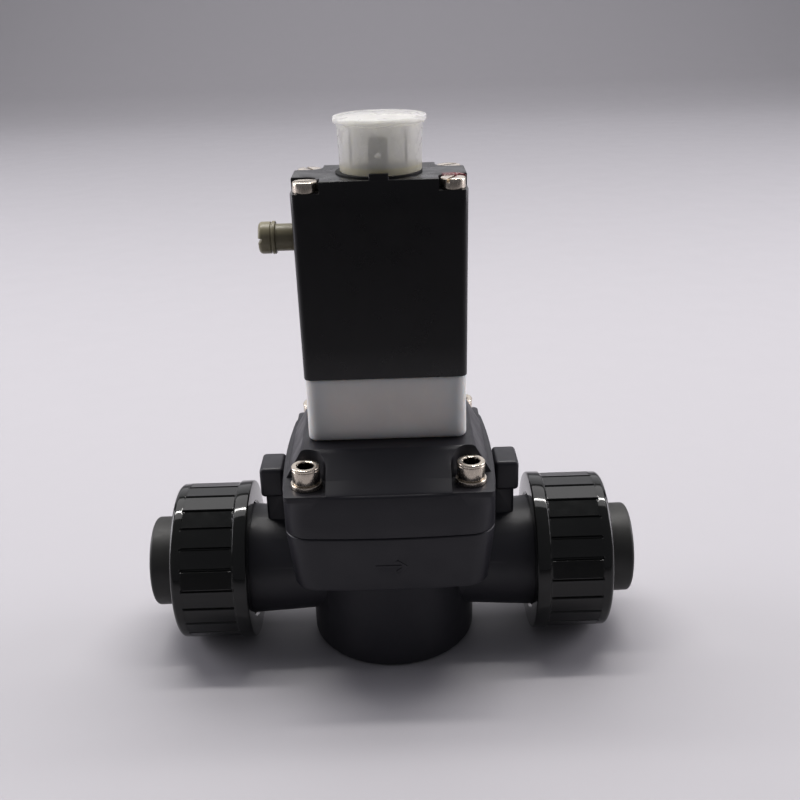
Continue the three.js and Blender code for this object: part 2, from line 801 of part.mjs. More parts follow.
function pilotBody() {
  const bottomZ = PLATFORM_Z + FIT;
  const topZ = PILOT_TOP_Z - FIT;
  const plan = roundedRectangle(PILOT_HALF_X, PILOT_HALF_Y, BLOCK_CORNER_R);
  const outer = extrudedUp(plan, bottomZ, topZ);
  const chamberSpan = [-8, 19];
  const chamberHalfY = 6;
  const nozzleR = 2;
  const chamber = block(
    [chamberSpan[0], -chamberHalfY, PILOT_FLOOR_Z],
    [chamberSpan[1], chamberHalfY, topZ + 1],
  );
  const nozzle = rod([NOZZLE_X, 0, PILOT_FLOOR_Z - 1], [NOZZLE_X, 0, NOZZLE_TOP_Z], nozzleR);
  const recessPlan = roundedRectangle(SEPARATOR_HALF_X + 0.2, SEPARATOR_HALF_Y + 0.2, 5);
  const recess = extrudedUp(recessPlan, SEPARATOR_Z - FIT, topZ + 1).translate(SEPARATOR_X, 0, 0);
  const control = [CONTROL_PORT_X, CONTROL_PORT_Y];
  const crossZ = 89;
  const recessTop = bottomZ + 1.1;
  const nozzleBoreR = 0.8;
  const pinSlotHalf = ROCKER_PIN_R + 0.05;
  const pinSlotHalfY = ROCKER_PIN_HALF_Y + 0.2;
  return cut(
    join(cut(outer, chamber, recess), nozzle),
    rod([NOZZLE_X, 0, crossZ - nozzleBoreR], [NOZZLE_X, 0, NOZZLE_TOP_Z + 1], nozzleBoreR, 8),
    passage([NOZZLE_X, 0, crossZ], [RETURN_PORT_X, 0, crossZ]),
    passage([RETURN_PORT_X, 0, bottomZ - 1], [RETURN_PORT_X, 0, crossZ]),
    rod([RETURN_PORT_X, 0, bottomZ - 1], [RETURN_PORT_X, 0, recessTop], PORT_RECESS_R, 14),
    passage([...control, bottomZ - 1], [...control, PILOT_FLOOR_Z + 1]),
    rod([...control, bottomZ - 1], [...control, recessTop], PORT_RECESS_R, 14),
    block(
      [ROCKER_X - pinSlotHalf, -pinSlotHalfY, ROCKER_Z - pinSlotHalf],
      [ROCKER_X + pinSlotHalf, pinSlotHalfY, SEPARATOR_Z],
    ),
    ...CORNERS.map(([sx, sy]) =>
      bore(
        [sx * LONG_SCREW_X, sy * LONG_SCREW_Y, bottomZ - 1],
        [sx * LONG_SCREW_X, sy * LONG_SCREW_Y, topZ + 1],
        LONG_SCREW_R + 0.05,
      ),
    ),
  );
}

// A two-armed lever: the right arm is pushed, the left arm carries the pad that shuts the nozzle.
function pilotRocker() {
  const halfY = 3;
  const bar = block([-5.8, -halfY, ROCKER_BOTTOM_Z], [17, halfY, ROCKER_TOP_Z]);
  const button = rod([PUSH_ROD_X, 0, ROCKER_TOP_Z - 0.5], [PUSH_ROD_X, 0, SEPARATOR_Z - FIT], 2, 12);
  const pinHole = bore([ROCKER_X, -5, ROCKER_Z], [ROCKER_X, 5, ROCKER_Z], ROCKER_PIN_R + 0.05);
  return cut(join(bar, button), pinHole);
}

function addPilot() {
  const portRingZ = PLATFORM_Z + FIT + PORT_RING_SECTION_R;
  const padTop = ROCKER_BOTTOM_Z - 0.05;
  const separatorTop = PILOT_TOP_Z - 0.3;
  add("pilot_body", pilotBody(), PILOT_PLASTIC);
  add("pilot_rocker", pilotRocker(), BOBBIN_PLASTIC);
  const pinEnds = [-ROCKER_PIN_HALF_Y, ROCKER_PIN_HALF_Y].map((y) => [ROCKER_X, y, ROCKER_Z]);
  add("rocker_pin", rod(...pinEnds, ROCKER_PIN_R, 12), STEEL);
  add("nozzle_pad", rod([NOZZLE_X, 0, NOZZLE_TOP_Z + 0.05], [NOZZLE_X, 0, padTop], 2.4), RUBBER);
  const separatorPlan = roundedRectangle(SEPARATOR_HALF_X, SEPARATOR_HALF_Y, 4.9);
  const separator = extrudedUp(separatorPlan, SEPARATOR_Z, separatorTop);
  add("separating_diaphragm", separator, RUBBER, SEPARATOR_X);
  add("control_port_o_ring", portRing(portRingZ), RUBBER, CONTROL_PORT_X, CONTROL_PORT_Y);
  add("return_port_o_ring", portRing(portRingZ), RUBBER, RETURN_PORT_X);
}

// ---------------------------------------------------------------- coil housing

// The top corner that is cut away for a screw head.
function housingNotch(sx, sy) {
  const innerX = LONG_SCREW_X - NOTCH_R;
  const innerY = LONG_SCREW_Y - NOTCH_R;
  const far = 60;
  const shape = new THREE.Shape();
  shape.moveTo(far, far);
  shape.lineTo(innerX, far);
  shape.lineTo(innerX, LONG_SCREW_Y);
  shape.absarc(LONG_SCREW_X, LONG_SCREW_Y, NOTCH_R, TURN / 2, (3 * TURN) / 4);
  shape.lineTo(far, innerY);
  const notch = extrudedUp(shape, NOTCH_Z, HOUSING_TOP_Z + 5);
  if (sx * sy > 0) return notch.rotateZ(sx > 0 ? 0 : TURN / 2);
  return mirroredX(notch).rotateZ(sx < 0 ? 0 : TURN / 2);
}

// A geometry mirrored in the YZ plane, with its faces turned back to point outwards.
function mirroredX(geometry) {
  const flipped = geometry.index ? geometry.toNonIndexed() : geometry.clone();
  flipped.scale(-1, 1, 1);
  const at = flipped.attributes.position;
  for (let i = 0; i < at.count; i += 3) {
    const second = [at.getX(i + 1), at.getY(i + 1), at.getZ(i + 1)];
    at.setXYZ(i + 1, at.getX(i + 2), at.getY(i + 2), at.getZ(i + 2));
    at.setXYZ(i + 2, ...second);
  }
  return flipped;
}

function bladeSlot(x, y, halfX, halfY) {
  const gap = 0.05;
  return block([x - halfX - gap, y - halfY - gap, 160], [x + halfX + gap, y + halfY + gap, 180]);
}

// Slots for the three plug contacts, wide along the circle that they stand on.
function bladeSlots() {
  const w = BLADE_WIDTH / 2;
  const t = BLADE_T / 2;
  return [
    bladeSlot(0, -BLADE_OFFSET, w, t),
    bladeSlot(-BLADE_OFFSET, 0, t, w),
    bladeSlot(BLADE_OFFSET, 0, t, w),
  ];
}

function coilHousing() {
  const bottomZ = PILOT_TOP_Z;
  const outline = roundedRectangle(HOUSING_HALF_X, HOUSING_HALF_Y, 2.4);
  const keyHalf = 3.1;
  const keyH = 1.9;
  const shell = extrudedUp(outline, bottomZ, HOUSING_TOP_Z);
  const key = block(
    [-keyHalf, -HOUSING_HALF_Y + 0.1, HOUSING_TOP_Z - 1],
    [keyHalf, -CAP_R - 0.4, HOUSING_TOP_Z + keyH],
  );
  const cavity = block(
    [-CAVITY_HALF_X, -CAVITY_HALF_Y, bottomZ - 1],
    [CAVITY_HALF_X, CAVITY_HALF_Y, CAVITY_TOP_Z],
  );
  return cut(
    join(shell, key),
    cavity,
    ...CORNERS.map(([sx, sy]) => housingNotch(sx, sy)),
    ...CORNERS.map(([sx, sy]) =>
      bore(
        [sx * LONG_SCREW_X, sy * LONG_SCREW_Y, bottomZ - 1],
        [sx * LONG_SCREW_X, sy * LONG_SCREW_Y, HOUSING_TOP_Z + 1],
        LONG_SCREW_R + 0.05,
      ),
    ),
    bore(
      [-HOUSING_HALF_X - 1, 0, OVERRIDE_Z],
      [-CAVITY_HALF_X + 1, 0, OVERRIDE_Z],
      OVERRIDE_SHAFT_R + 0.08,
      18,
    ),
    ...bladeSlots(),
    bore([0, 0, CAVITY_TOP_Z - 1], [0, 0, HOUSING_TOP_Z + 1], PLUG_INSERT_R + 0.05),
  );
}

function addPlugContacts() {
  const w = BLADE_WIDTH / 2;
  const t = BLADE_T / 2;
  const tip = 1;
  const shape = new THREE.Shape();
  shape.moveTo(-w, BLADE_BOTTOM_Z);
  shape.lineTo(w, BLADE_BOTTOM_Z);
  shape.lineTo(w, BLADE_TOP_Z - tip);
  shape.lineTo(w - tip, BLADE_TOP_Z);
  shape.lineTo(-w + tip, BLADE_TOP_Z);
  shape.lineTo(-w, BLADE_TOP_Z - tip);
  shape.holes.push(new THREE.Path().absarc(0, BLADE_HOLE_Z, 1, 0, TURN, true));
  const blade = () =>
    new THREE.ExtrudeGeometry(shape, { depth: BLADE_T, bevelEnabled: false, curveSegments: 6 })
      .translate(0, 0, -t)
      .rotateX(Math.PI / 2);
  add("earth_contact", blade(), TINNED, 0, -BLADE_OFFSET);
  add("left_contact", blade().rotateZ(Math.PI / 2), TINNED, -BLADE_OFFSET);
  add("right_contact", blade().rotateZ(Math.PI / 2), TINNED, BLADE_OFFSET);
  const insertBore = 1.3;
  const insertProfile = ringProfile(insertBore, PLUG_INSERT_R, CAVITY_TOP_Z + 0.4, HOUSING_TOP_Z - 0.1);
  const insert = turned(insertProfile, 14);
  add("plug_screw_insert", insert, BRASS);
  const gasket = turned(ringProfile(4, CAP_R + 0.3, HOUSING_TOP_Z + 0.05, GASKET_TOP_Z), 32);
  add("plug_gasket", cut(gasket, ...bladeSlots()), RUBBER);
}

function dustCap() {
  const wall = 1.15;
  const bead = 0.7;
  const footZ = GASKET_TOP_Z + 0.05;
  const innerTop = CAP_TOP_Z - 1.5;
  return turned(
    [
      [0, innerTop],
      [CAP_R - wall, innerTop],
      [CAP_R - wall, footZ + 2.6],
      [CAP_R - wall - bead, footZ + 2],
      [CAP_R - wall - bead, footZ],
      [CAP_R, footZ],
      [CAP_R, CAP_RIM_Z],
      [CAP_RIM_R, CAP_RIM_Z],
      [CAP_RIM_R, CAP_TOP_Z - 0.7],
      [CAP_RIM_R - 0.6, CAP_TOP_Z - 0.2],
      [0, CAP_TOP_Z],
    ],
    32,
  );
}

// ---------------------------------------------------------------- solenoid

function yoke() {
  const legRight = YOKE_LEG_X + YOKE_T;
  const legTop = 153.4;
  const earTop = PIVOT_Z + 2.4;
  const earInner = ARMATURE_HALF_Y + 0.3;
  const ear = (low, high) => block([PIVOT_X - 2.2, low, legTop - 3], [PIVOT_X + 2.2, high, earTop]);
  return cut(
    join(
      block([YOKE_LEG_X, -YOKE_HALF_Y, YOKE_Z], [BOBBIN_R + 0.1, YOKE_HALF_Y, YOKE_Z + YOKE_T]),
      block([YOKE_LEG_X, -YOKE_HALF_Y, YOKE_Z], [legRight, YOKE_HALF_Y, legTop]),
      ear(earInner, YOKE_HALF_Y + 0.6),
      ear(-YOKE_HALF_Y - 0.6, -earInner),
    ),
    bore([PIVOT_X, -20, PIVOT_Z], [PIVOT_X, 20, PIVOT_Z], 1.05),
  );
}

// The plate above the core, with a boss on its pin and a tail that the override lifts.
function armature() {
  const topZ = ARMATURE_Z + ARMATURE_T;
  const tailX = -19.7;
  const plate = block([tailX, -ARMATURE_HALF_Y, ARMATURE_Z], [16, ARMATURE_HALF_Y, topZ]);
  const boss = rod([PIVOT_X, -ARMATURE_HALF_Y, PIVOT_Z], [PIVOT_X, ARMATURE_HALF_Y, PIVOT_Z], 2.1);
  const pinHole = bore([PIVOT_X, -20, PIVOT_Z], [PIVOT_X, 20, PIVOT_Z], 1.1);
  return cut(join(plate, boss), pinHole);
}

function addSolenoid() {
  const base = YOKE_Z + YOKE_T;
  const bobbinLow = base + 0.5;
  const barrelR = CORE_R + 1.3;
  const flangeT = 1.5;
  const bobbin = turned(
    [
      [CORE_R + 0.1, bobbinLow],
      [BOBBIN_R, bobbinLow],
      [BOBBIN_R, bobbinLow + flangeT],
      [barrelR, bobbinLow + flangeT],
      [barrelR, BOBBIN_TOP_Z - flangeT],
      [BOBBIN_R, BOBBIN_TOP_Z - flangeT],
      [BOBBIN_R, BOBBIN_TOP_Z],
      [CORE_R + 0.1, BOBBIN_TOP_Z],
      [CORE_R + 0.1, bobbinLow],
    ],
    24,
  );
  const windingLow = bobbinLow + flangeT + FIT;
  const windingHigh = BOBBIN_TOP_Z - flangeT - FIT;
  const winding = turned(ringProfile(barrelR + FIT, BOBBIN_R - 0.4, windingLow, windingHigh), 24);
  const rodTop = ARMATURE_Z - 0.05;
  const rodFoot = PILOT_TOP_Z + FIT;
  add("coil_yoke", yoke(), SOFT_IRON);
  add("coil_core", rod([0, 0, base + 0.05], [0, 0, CORE_TOP_Z], CORE_R, 20), SOFT_IRON);
  add("coil_bobbin", bobbin, BOBBIN_PLASTIC);
  add("coil_winding", winding, COPPER);
  add("armature", armature(), SOFT_IRON);
  add("armature_pin", rod([PIVOT_X, -10.8, PIVOT_Z], [PIVOT_X, 10.8, PIVOT_Z], 1, 12), STEEL);
  add("armature_spring", spring(6.4, 0.4, BOBBIN_TOP_Z + 0.1, ARMATURE_Z - 0.1, 2.5), STEEL);
  add("push_rod", rod([PUSH_ROD_X, 0, rodFoot], [PUSH_ROD_X, 0, rodTop], 1.2, 10), STEEL);
}

// ---------------------------------------------------------------- manual override

// A slotted knob on a shaft through the housing wall; its inner end is a crank pin.
function manualOverride() {
  const neckX = -HOUSING_HALF_X - FIT;
  const shaftEndX = -CAVITY_HALF_X - 0.1;
  const crankEndX = -17.9;
  const crankOffset = 2;
  const crankR = 1.1;
  const grooveX = [-25.6, -23.9];
  const rounding = 1.2;
  const slotHalf = 0.8;
  const slotDepth = 1.4;
  const profile = [
    [0, OVERRIDE_TIP_X],
    [OVERRIDE_HEAD_R - rounding, OVERRIDE_TIP_X],
    [OVERRIDE_HEAD_R - 0.35, OVERRIDE_TIP_X + 0.35],
    [OVERRIDE_HEAD_R, OVERRIDE_TIP_X + rounding],
    [OVERRIDE_HEAD_R, OVERRIDE_HEAD_X - 1.5],
    [OVERRIDE_HEAD_R - 0.4, OVERRIDE_HEAD_X - 1.5],
    [OVERRIDE_HEAD_R - 0.4, OVERRIDE_HEAD_X - 1.1],
    [OVERRIDE_HEAD_R, OVERRIDE_HEAD_X - 1.1],
    [OVERRIDE_HEAD_R, OVERRIDE_HEAD_X],
    [OVERRIDE_NECK_R, OVERRIDE_HEAD_X],
    [OVERRIDE_NECK_R, neckX],
    [OVERRIDE_SHAFT_R, neckX],
    [OVERRIDE_SHAFT_R, grooveX[0]],
    [OVERRIDE_SHAFT_R - 0.8, grooveX[0]],
    [OVERRIDE_SHAFT_R - 0.8, grooveX[1]],
    [OVERRIDE_SHAFT_R, grooveX[1]],
    [OVERRIDE_SHAFT_R, shaftEndX],
    [0, shaftEndX],
  ];
  const knob = turned(profile, 18).rotateY(Math.PI / 2);
  const crank = rod([shaftEndX - 1, 0, -crankOffset], [crankEndX, 0, -crankOffset], crankR, 12);
  const slot = block(
    [OVERRIDE_TIP_X - 1, -OVERRIDE_HEAD_R, -slotHalf],
    [OVERRIDE_TIP_X + slotDepth, OVERRIDE_HEAD_R, slotHalf],
  );
  return cut(join(knob, crank), slot);
}

function addOverride() {
  const ringR = [OVERRIDE_SHAFT_R - 0.75, OVERRIDE_SHAFT_R + 0.05];
  const ring = turned(ringProfile(ringR[0], ringR[1], -25.5, -24)).rotateY(Math.PI / 2);
  add("manual_override", manualOverride(), OVERRIDE_PLASTIC, 0, 0, OVERRIDE_Z);
  add("override_o_ring", ring, RUBBER, 0, 0, OVERRIDE_Z);
}

// ---------------------------------------------------------------- assembly

add("valve_body", valveBody(), BODY_PLASTIC);
add("bonnet", bonnet(), BODY_PLASTIC);
addUnions();
addDiaphragm();
addPilot();
add("coil_housing", coilHousing(), HOUSING_PLASTIC);
addSolenoid();
addPlugContacts();
add("dust_cap", dustCap(), CAP_PLASTIC);
addOverride();
addFasteners();

export default valve;
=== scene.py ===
"""Finished looks of a plastic diaphragm solenoid valve with union ends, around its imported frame.

Sizes inside this file are millimetres in the frame's own axes: +Z up, the pipe along X, the front
facing -Y. They are turned into metres when a mesh is written.
"""

import json
import math

import bmesh
import bpy
from mathutils import Matrix, Vector


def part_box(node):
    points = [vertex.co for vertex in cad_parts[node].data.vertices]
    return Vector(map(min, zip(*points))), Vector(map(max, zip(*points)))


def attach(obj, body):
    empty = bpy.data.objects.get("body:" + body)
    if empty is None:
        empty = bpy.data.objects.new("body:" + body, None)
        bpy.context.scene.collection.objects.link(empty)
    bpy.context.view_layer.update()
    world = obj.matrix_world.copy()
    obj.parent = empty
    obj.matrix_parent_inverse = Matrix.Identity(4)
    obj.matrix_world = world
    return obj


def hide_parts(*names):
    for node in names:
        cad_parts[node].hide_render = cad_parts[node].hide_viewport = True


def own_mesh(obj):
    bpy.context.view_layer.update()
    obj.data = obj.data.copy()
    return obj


bl_info = {
    "name": "Solenoid valve",
    "version": (1, 0, 0),
    "blender": (4, 5, 0),
    "location": "3D View > Sidebar > Valve",
    "description": "Builds the visible pieces of a plastic solenoid valve with union ends",
    "category": "Object",
}

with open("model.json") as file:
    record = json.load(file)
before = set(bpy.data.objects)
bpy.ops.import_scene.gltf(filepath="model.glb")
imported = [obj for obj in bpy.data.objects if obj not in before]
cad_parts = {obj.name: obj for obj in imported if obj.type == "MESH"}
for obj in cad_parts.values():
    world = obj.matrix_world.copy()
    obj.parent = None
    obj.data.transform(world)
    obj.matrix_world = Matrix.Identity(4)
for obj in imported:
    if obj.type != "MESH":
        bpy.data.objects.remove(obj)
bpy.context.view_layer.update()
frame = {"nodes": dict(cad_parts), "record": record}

MM = 0.001
FULL_TURN = 2 * math.pi
CORNERS = ((-1, -1), (1, -1), (1, 1), (-1, 1))


def span(node):
    """Lowest and highest corner of a frame node in millimetres."""
    return tuple(tuple(c / MM for c in corner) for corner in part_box(node))


# ---------------------------------------------------------------- heights and radii taken from the frame

BONNET_LOW, BONNET_HIGH = span("bonnet")
PILOT_LOW, PILOT_HIGH = span("pilot_body")
HOUSING_LOW, HOUSING_HIGH = span("coil_housing")
NUT_LOW, NUT_HIGH = span("right_union_nut")
END_LOW, END_HIGH = span("right_union_end")
CAP_LOW, CAP_HIGH = span("dust_cap")
KNOB_LOW, KNOB_HIGH = span("manual_override")
SCREW_LOW, SCREW_HIGH = span("bonnet_screw_3")
LONG_LOW, LONG_HIGH = span("housing_screw_3")
GASKET_LOW = span("plug_gasket")[0]

JOINT_Z = BONNET_LOW[2]
PLATFORM_Z = BONNET_HIGH[2]
PIPE_Z = (END_LOW[2] + END_HIGH[2]) / 2
HOUSING_TOP_Z = GASKET_LOW[2] - 0.05
SCREW_AT = (SCREW_LOW[0] + SCREW_HIGH[0]) / 2
LONG_AT_X = (LONG_LOW[0] + LONG_HIGH[0]) / 2
LONG_AT_Y = (LONG_LOW[1] + LONG_HIGH[1]) / 2
KNOB_Z = KNOB_HIGH[2] - 5.5


# ---------------------------------------------------------------- sizes and colours a user may change


def length_property(name, description, default, low, high):
    return bpy.props.FloatProperty(
        name=name, description=description, default=default, min=low, max=high, unit="LENGTH"
    )


class ValveSizes(bpy.types.PropertyGroup):
    """Sizes of the details that the frame leaves open."""

    edge_rounding: length_property(
        "Edge rounding", "Radius along the edges of the bonnet and the body flange", 0.0007, 0.0001, 0.001
    )
    groove_depth: length_property(
        "Nut groove depth", "Depth of the grooves between the panels of a union nut", 0.0008, 0.0002, 0.0012
    )
    panel_count: bpy.props.IntProperty(
        name="Nut panels", description="Number of panels round a union nut", default=24, min=8, max=40
    )
    thread_pitch: length_property(
        "Thread pitch", "Pitch of the round thread on the pipe necks", 0.002309, 0.001, 0.004
    )
    cap_wall: length_property("Dust cap wall", "Wall thickness of the dust cap", 0.00115, 0.0006, 0.002)
    arrow_height: length_property(
        "Arrow height", "How far the flow arrow stands out of the body flange", 0.00025, 0.0001, 0.0006
    )


def colour_property(name, description, default):
    return bpy.props.FloatVectorProperty(
        name=name, description=description, default=default, min=0, max=1, size=3, subtype="COLOR"
    )


class ValveColours(bpy.types.PropertyGroup):
    """Base colours of the finishes."""

    body: colour_property("Body", "Satin dark blue-grey of body and bonnet", (0.017, 0.0165, 0.022))
    pipe_end: colour_property("Union end", "Matte dark grey of the union ends", (0.022, 0.022, 0.02))
    nut: colour_property("Nut", "Glossy black of the union nuts", (0.008, 0.0085, 0.0078))
    pilot: colour_property("Pilot body", "Natural white of the pilot body", (0.8, 0.76, 0.72))
    housing: colour_property("Coil housing", "Near black of the coil housing", (0.0038, 0.0033, 0.0042))
    knob: colour_property("Override knob", "Olive grey of the manual override", (0.2, 0.18, 0.115))
    cap: colour_property("Dust cap", "Milky white of the dust cap", (0.78, 0.77, 0.73))
    steel: colour_property("Screws", "Warm bright steel of the screws", (0.62, 0.56, 0.48))
    lacquer: colour_property("Lacquer", "Dark red of the sealing lacquer", (0.11, 0.004, 0.008))
    floor: colour_property("Floor", "Pale floor and backdrop", (0.43, 0.42, 0.44))


def sizes():
    return bpy.context.scene.valve_sizes


def colours():
    return bpy.context.scene.valve_colours


# ---------------------------------------------------------------- mesh code


def finish_mesh(mesh, sharp=32):
    """Closes seams, turns every face outwards and shades smooth except over sharp edges."""
    work = bmesh.new()
    work.from_mesh(mesh)
    bmesh.ops.remove_doubles(work, verts=work.verts, dist=2e-6)
    bmesh.ops.dissolve_degenerate(work, edges=work.edges, dist=1e-7)
    bmesh.ops.recalc_face_normals(work, faces=work.faces)
    for face in work.faces:
        face.smooth = True
    for edge in work.edges:
        edge.smooth = len(edge.link_faces) == 2 and edge.calc_face_angle(0) < math.radians(sharp)
    work.to_mesh(mesh)
    work.free()
    mesh.update()


def new_object(name, points, faces, sharp=32):
    """A mesh object from points in millimetres."""
    mesh = bpy.data.meshes.new(name)
    mesh.from_pydata([Vector(p) * MM for p in points], [], faces)
    mesh.validate()
    finish_mesh(mesh, sharp)
    thing = bpy.data.objects.new(name, mesh)
    bpy.context.scene.collection.objects.link(thing)
    return thing


def skin(name, rings, closed=False, sharp=32):
    """A surface over rings of equal count; one-point rings are poles, and open ends get a cap."""
    points = []
    starts = []
    for ring in rings:
        starts.append(len(points))
        points.extend(ring)
    faces = []
    pairs = list(zip(range(len(rings) - 1), range(1, len(rings))))
    if closed:
        pairs.append((len(rings) - 1, 0))
    for a, b in pairs:
        count = max(len(rings[a]), len(rings[b]))
        for i in range(count):
            j = (i + 1) % count
            low = [starts[a] + i, starts[a] + j] if len(rings[a]) > 1 else [starts[a]]
            high = [starts[b] + j, starts[b] + i] if len(rings[b]) > 1 else [starts[b]]
            face = low + high
            if len(face) > 2:
                faces.append(face)
    if not closed:
        for end in (0, -1):
            if len(rings[end]) > 2:
                first = starts[end]
                faces.append([first + i for i in range(len(rings[end]))])
    return new_object(name, points, faces, sharp)


def rounded(points, closed=True, steps=4):
    """A polyline whose corners with a third number are replaced by arcs of that radius."""
    result = []
    count = len(points)
    for i, point in enumerate(points):
        radius = point[2] if len(point) > 2 else 0
        if not radius or (not closed and i in (0, count - 1)):
            result.append((point[0], point[1]))
            continue
        here = Vector(point[:2])
        back = Vector(points[i - 1][:2]) - here
        ahead = Vector(points[(i + 1) % count][:2]) - here
        half = back.angle(ahead) / 2
        reach = min(radius / math.tan(half), 0.49 * back.length, 0.49 * ahead.length)
        start = here + back.normalized() * reach
        end = here + ahead.normalized() * reach
        weight = math.sin(half)
        for k in range(steps + 1):
            t = k / steps
            shares = ((1 - t) ** 2, 2 * t * (1 - t) * weight, t * t)
            mixed = (start * shares[0] + here * shares[1] + end * shares[2]) / sum(shares)
            result.append((mixed.x, mixed.y))
    return result


def circle(radius, z, count, x=0.0):
    if radius < 1e-6:
        return [(x, 0.0, z)]
    angles = [FULL_TURN * i / count for i in range(count)]
    return [(x + radius * math.cos(a), radius * math.sin(a), z) for a in angles]


def turned(name, profile, count=96, closed=False, x=0.0):
    """A profile of (radius, height) turned about an upright axis."""
    return skin(name, [circle(r, z, count, x) for r, z in profile], closed)


def turned_on_pipe(name, profile, side, count=96, closed=False):
    """A profile of (radius, distance) turned about the pipe axis on one side of the valve."""
    rings = []
    for radius, along in profile:
        ring = [(side * along, c[0], PIPE_Z + c[1]) for c in circle(radius, 0, count)]
        rings.append(ring)
    return skin(name, rings, closed)


def drilled(name, start, end, radius, count=48):
    """A plain round cutter between two points."""
    a = Vector(start)
    along = Vector(end) - a
    turn = along.to_track_quat("Z", "Y").to_matrix()
    rings = []
    for share in (0, 1):
        ring = [a + along * share + turn @ Vector(c) for c in circle(radius, 0, count)]
        rings.append([tuple(p) for p in ring])
    return skin(name, rings)


def rounded_rectangle(half_x, half_y, radius, corner_steps=8, side_steps=1):
    """Points round a rectangle with round corners, counter-clockwise, always of the same count."""
    points = []
    for k, (sx, sy) in enumerate(((1, 1), (-1, 1), (-1, -1), (1, -1))):
        centre = (sx * (half_x - radius), sy * (half_y - radius))
        for i in range(corner_steps + 1):
            angle = FULL_TURN / 4 * (k + i / corner_steps)
            points.append((centre[0] + radius * math.cos(angle), centre[1] + radius * math.sin(angle)))
    if side_steps == 1:
        return points
    dense = []
    step = corner_steps + 1
    for i, point in enumerate(points):
        dense.append(point)
        if i % step == corner_steps:
            following = points[(i + 1) % len(points)]
            for k in range(1, side_steps):
                t = k / side_steps
                dense.append(tuple(p + (q - p) * t for p, q in zip(point, following)))
    return dense


def inset(ring, distance):
    """The ring moved inwards by a distance."""
    count = len(ring)
    moved = []
    for i, point in enumerate(ring):
        here = Vector(point)
        before = (here - Vector(ring[i - 1])).normalized()
        after = (Vector(ring[(i + 1) % count]) - here).normalized()
        inward = Vector((-(before.y + after.y), before.x + after.x)).normalized()
        lean = max(0.3, inward.dot(Vector((-after.y, after.x))))
        moved.append(tuple(here + inward * distance / lean))
    return moved


def rounded_slab(ring, low, high, low_radius, high_radius, middle=1, steps=4):
    """Rings of a slab whose lower and upper edges are rounded."""
    levels = []
    for i in range(steps + 1):
        angle = FULL_TURN / 4 * i / steps
        levels.append((low + low_radius * (1 - math.cos(angle)), low_radius * (1 - math.sin(angle))))
    for i in range(1, middle):
        share = i / middle
        levels.append((low + low_radius + (high - high_radius - low - low_radius) * share, 0))
    for i in range(steps + 1):
        angle = FULL_TURN / 4 * i / steps
        levels.append((high - high_radius * (1 - math.sin(angle)), high_radius * (1 - math.cos(angle))))
    return [[(p[0], p[1], z) for p in inset(ring, d)] for z, d in levels]


def brick(name, low, high, radius=0.0, steps=3):
    """A block between two corners with rounded edges."""
    points = [(x, y, z) for x in (low[0], high[0]) for y in (low[1], high[1]) for z in (low[2], high[2])]
    faces = [(0, 1, 3, 2), (4, 6, 7, 5), (0, 4, 5, 1), (2, 3, 7, 6), (0, 2, 6, 4), (1, 5, 7, 3)]
    thing = new_object(name, points, faces)
    if radius:
        work = bmesh.new()
        work.from_mesh(thing.data)
        bmesh.ops.bevel(
            work, geom=work.edges[:], offset=radius * MM, segments=steps, affect="EDGES", profile=0.5
        )
        work.to_mesh(thing.data)
        work.free()
        finish_mesh(thing.data, 40)
    return thing


def settled(thing, sharp=32):
    """The object with its modifiers turned into plain mesh."""
    bpy.context.view_layer.update()
    graph = bpy.context.evaluated_depsgraph_get()
    mesh = bpy.data.meshes.new_from_object(thing.evaluated_get(graph))
    thing.modifiers.clear()
    old = thing.data
    thing.data = mesh
    bpy.data.meshes.remove(old)
    finish_mesh(mesh, sharp)
    return thing


def combine(thing, others, operation, sharp=32):
    """Joins solids to a solid, or cuts them out of it, and removes them."""
    for other in others:
        step = thing.modifiers.new("combine", "BOOLEAN")
        step.operation = operation
        step.solver = "MANIFOLD"
        step.object = other
    settled(thing, sharp)
    if not thing.data.polygons:
        raise RuntimeError(f"{thing.name} vanished when solids were combined")
    for other in others:
        bpy.data.objects.remove(other)


def softened(thing, width, angle=30, segments=2, sharp=40):
    """Rounds every edge sharper than an angle."""
    step = thing.modifiers.new("soft edges", "BEVEL")
    step.width = width
    step.segments = segments
    step.limit_method = "ANGLE"
    step.angle_limit = math.radians(angle)
    step.use_clamp_overlap = True
    return settled(thing, sharp)


def dress(thing, body, material, slot, *nodes):
    """Gives a finished piece its material, its body and the frame nodes that it stands for."""
    thing.data.materials.clear()
    thing.data.materials.append(material)
    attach(thing, body)
    if nodes:
        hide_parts(*nodes)


# ---------------------------------------------------------------- node trees for repeated shapes


def new_tree(name, floats, whole):
    """A geometry node tree with a geometry input and output, the named numbers and a material."""
    tree = bpy.data.node_groups.new(name, "GeometryNodeTree")
    tree.interface.new_socket("Geometry", in_out="INPUT", socket_type="NodeSocketGeometry")
    for kind, labels in (("Float", floats), ("Int", whole), ("Material", ["Material"])):
        for label in labels:
            tree.interface.new_socket(label, in_out="INPUT", socket_type=f"NodeSocket{kind}")
    tree.interface.new_socket("Geometry", in_out="OUTPUT", socket_type="NodeSocketGeometry")
    return tree, tree.nodes.new("NodeGroupInput"), tree.nodes.new("NodeGroupOutput")


def put(tree, kind, **settings):
    made = tree.nodes.new(kind)
    for key, value in settings.items():
        setattr(made, key, value)
    return made


def wire(tree, *links):
    """Links sockets, each link given as node, outlet, node, inlet."""
    for source, outlet, target, inlet in links:
        tree.links.new(source.outputs[outlet], target.inputs[inlet])


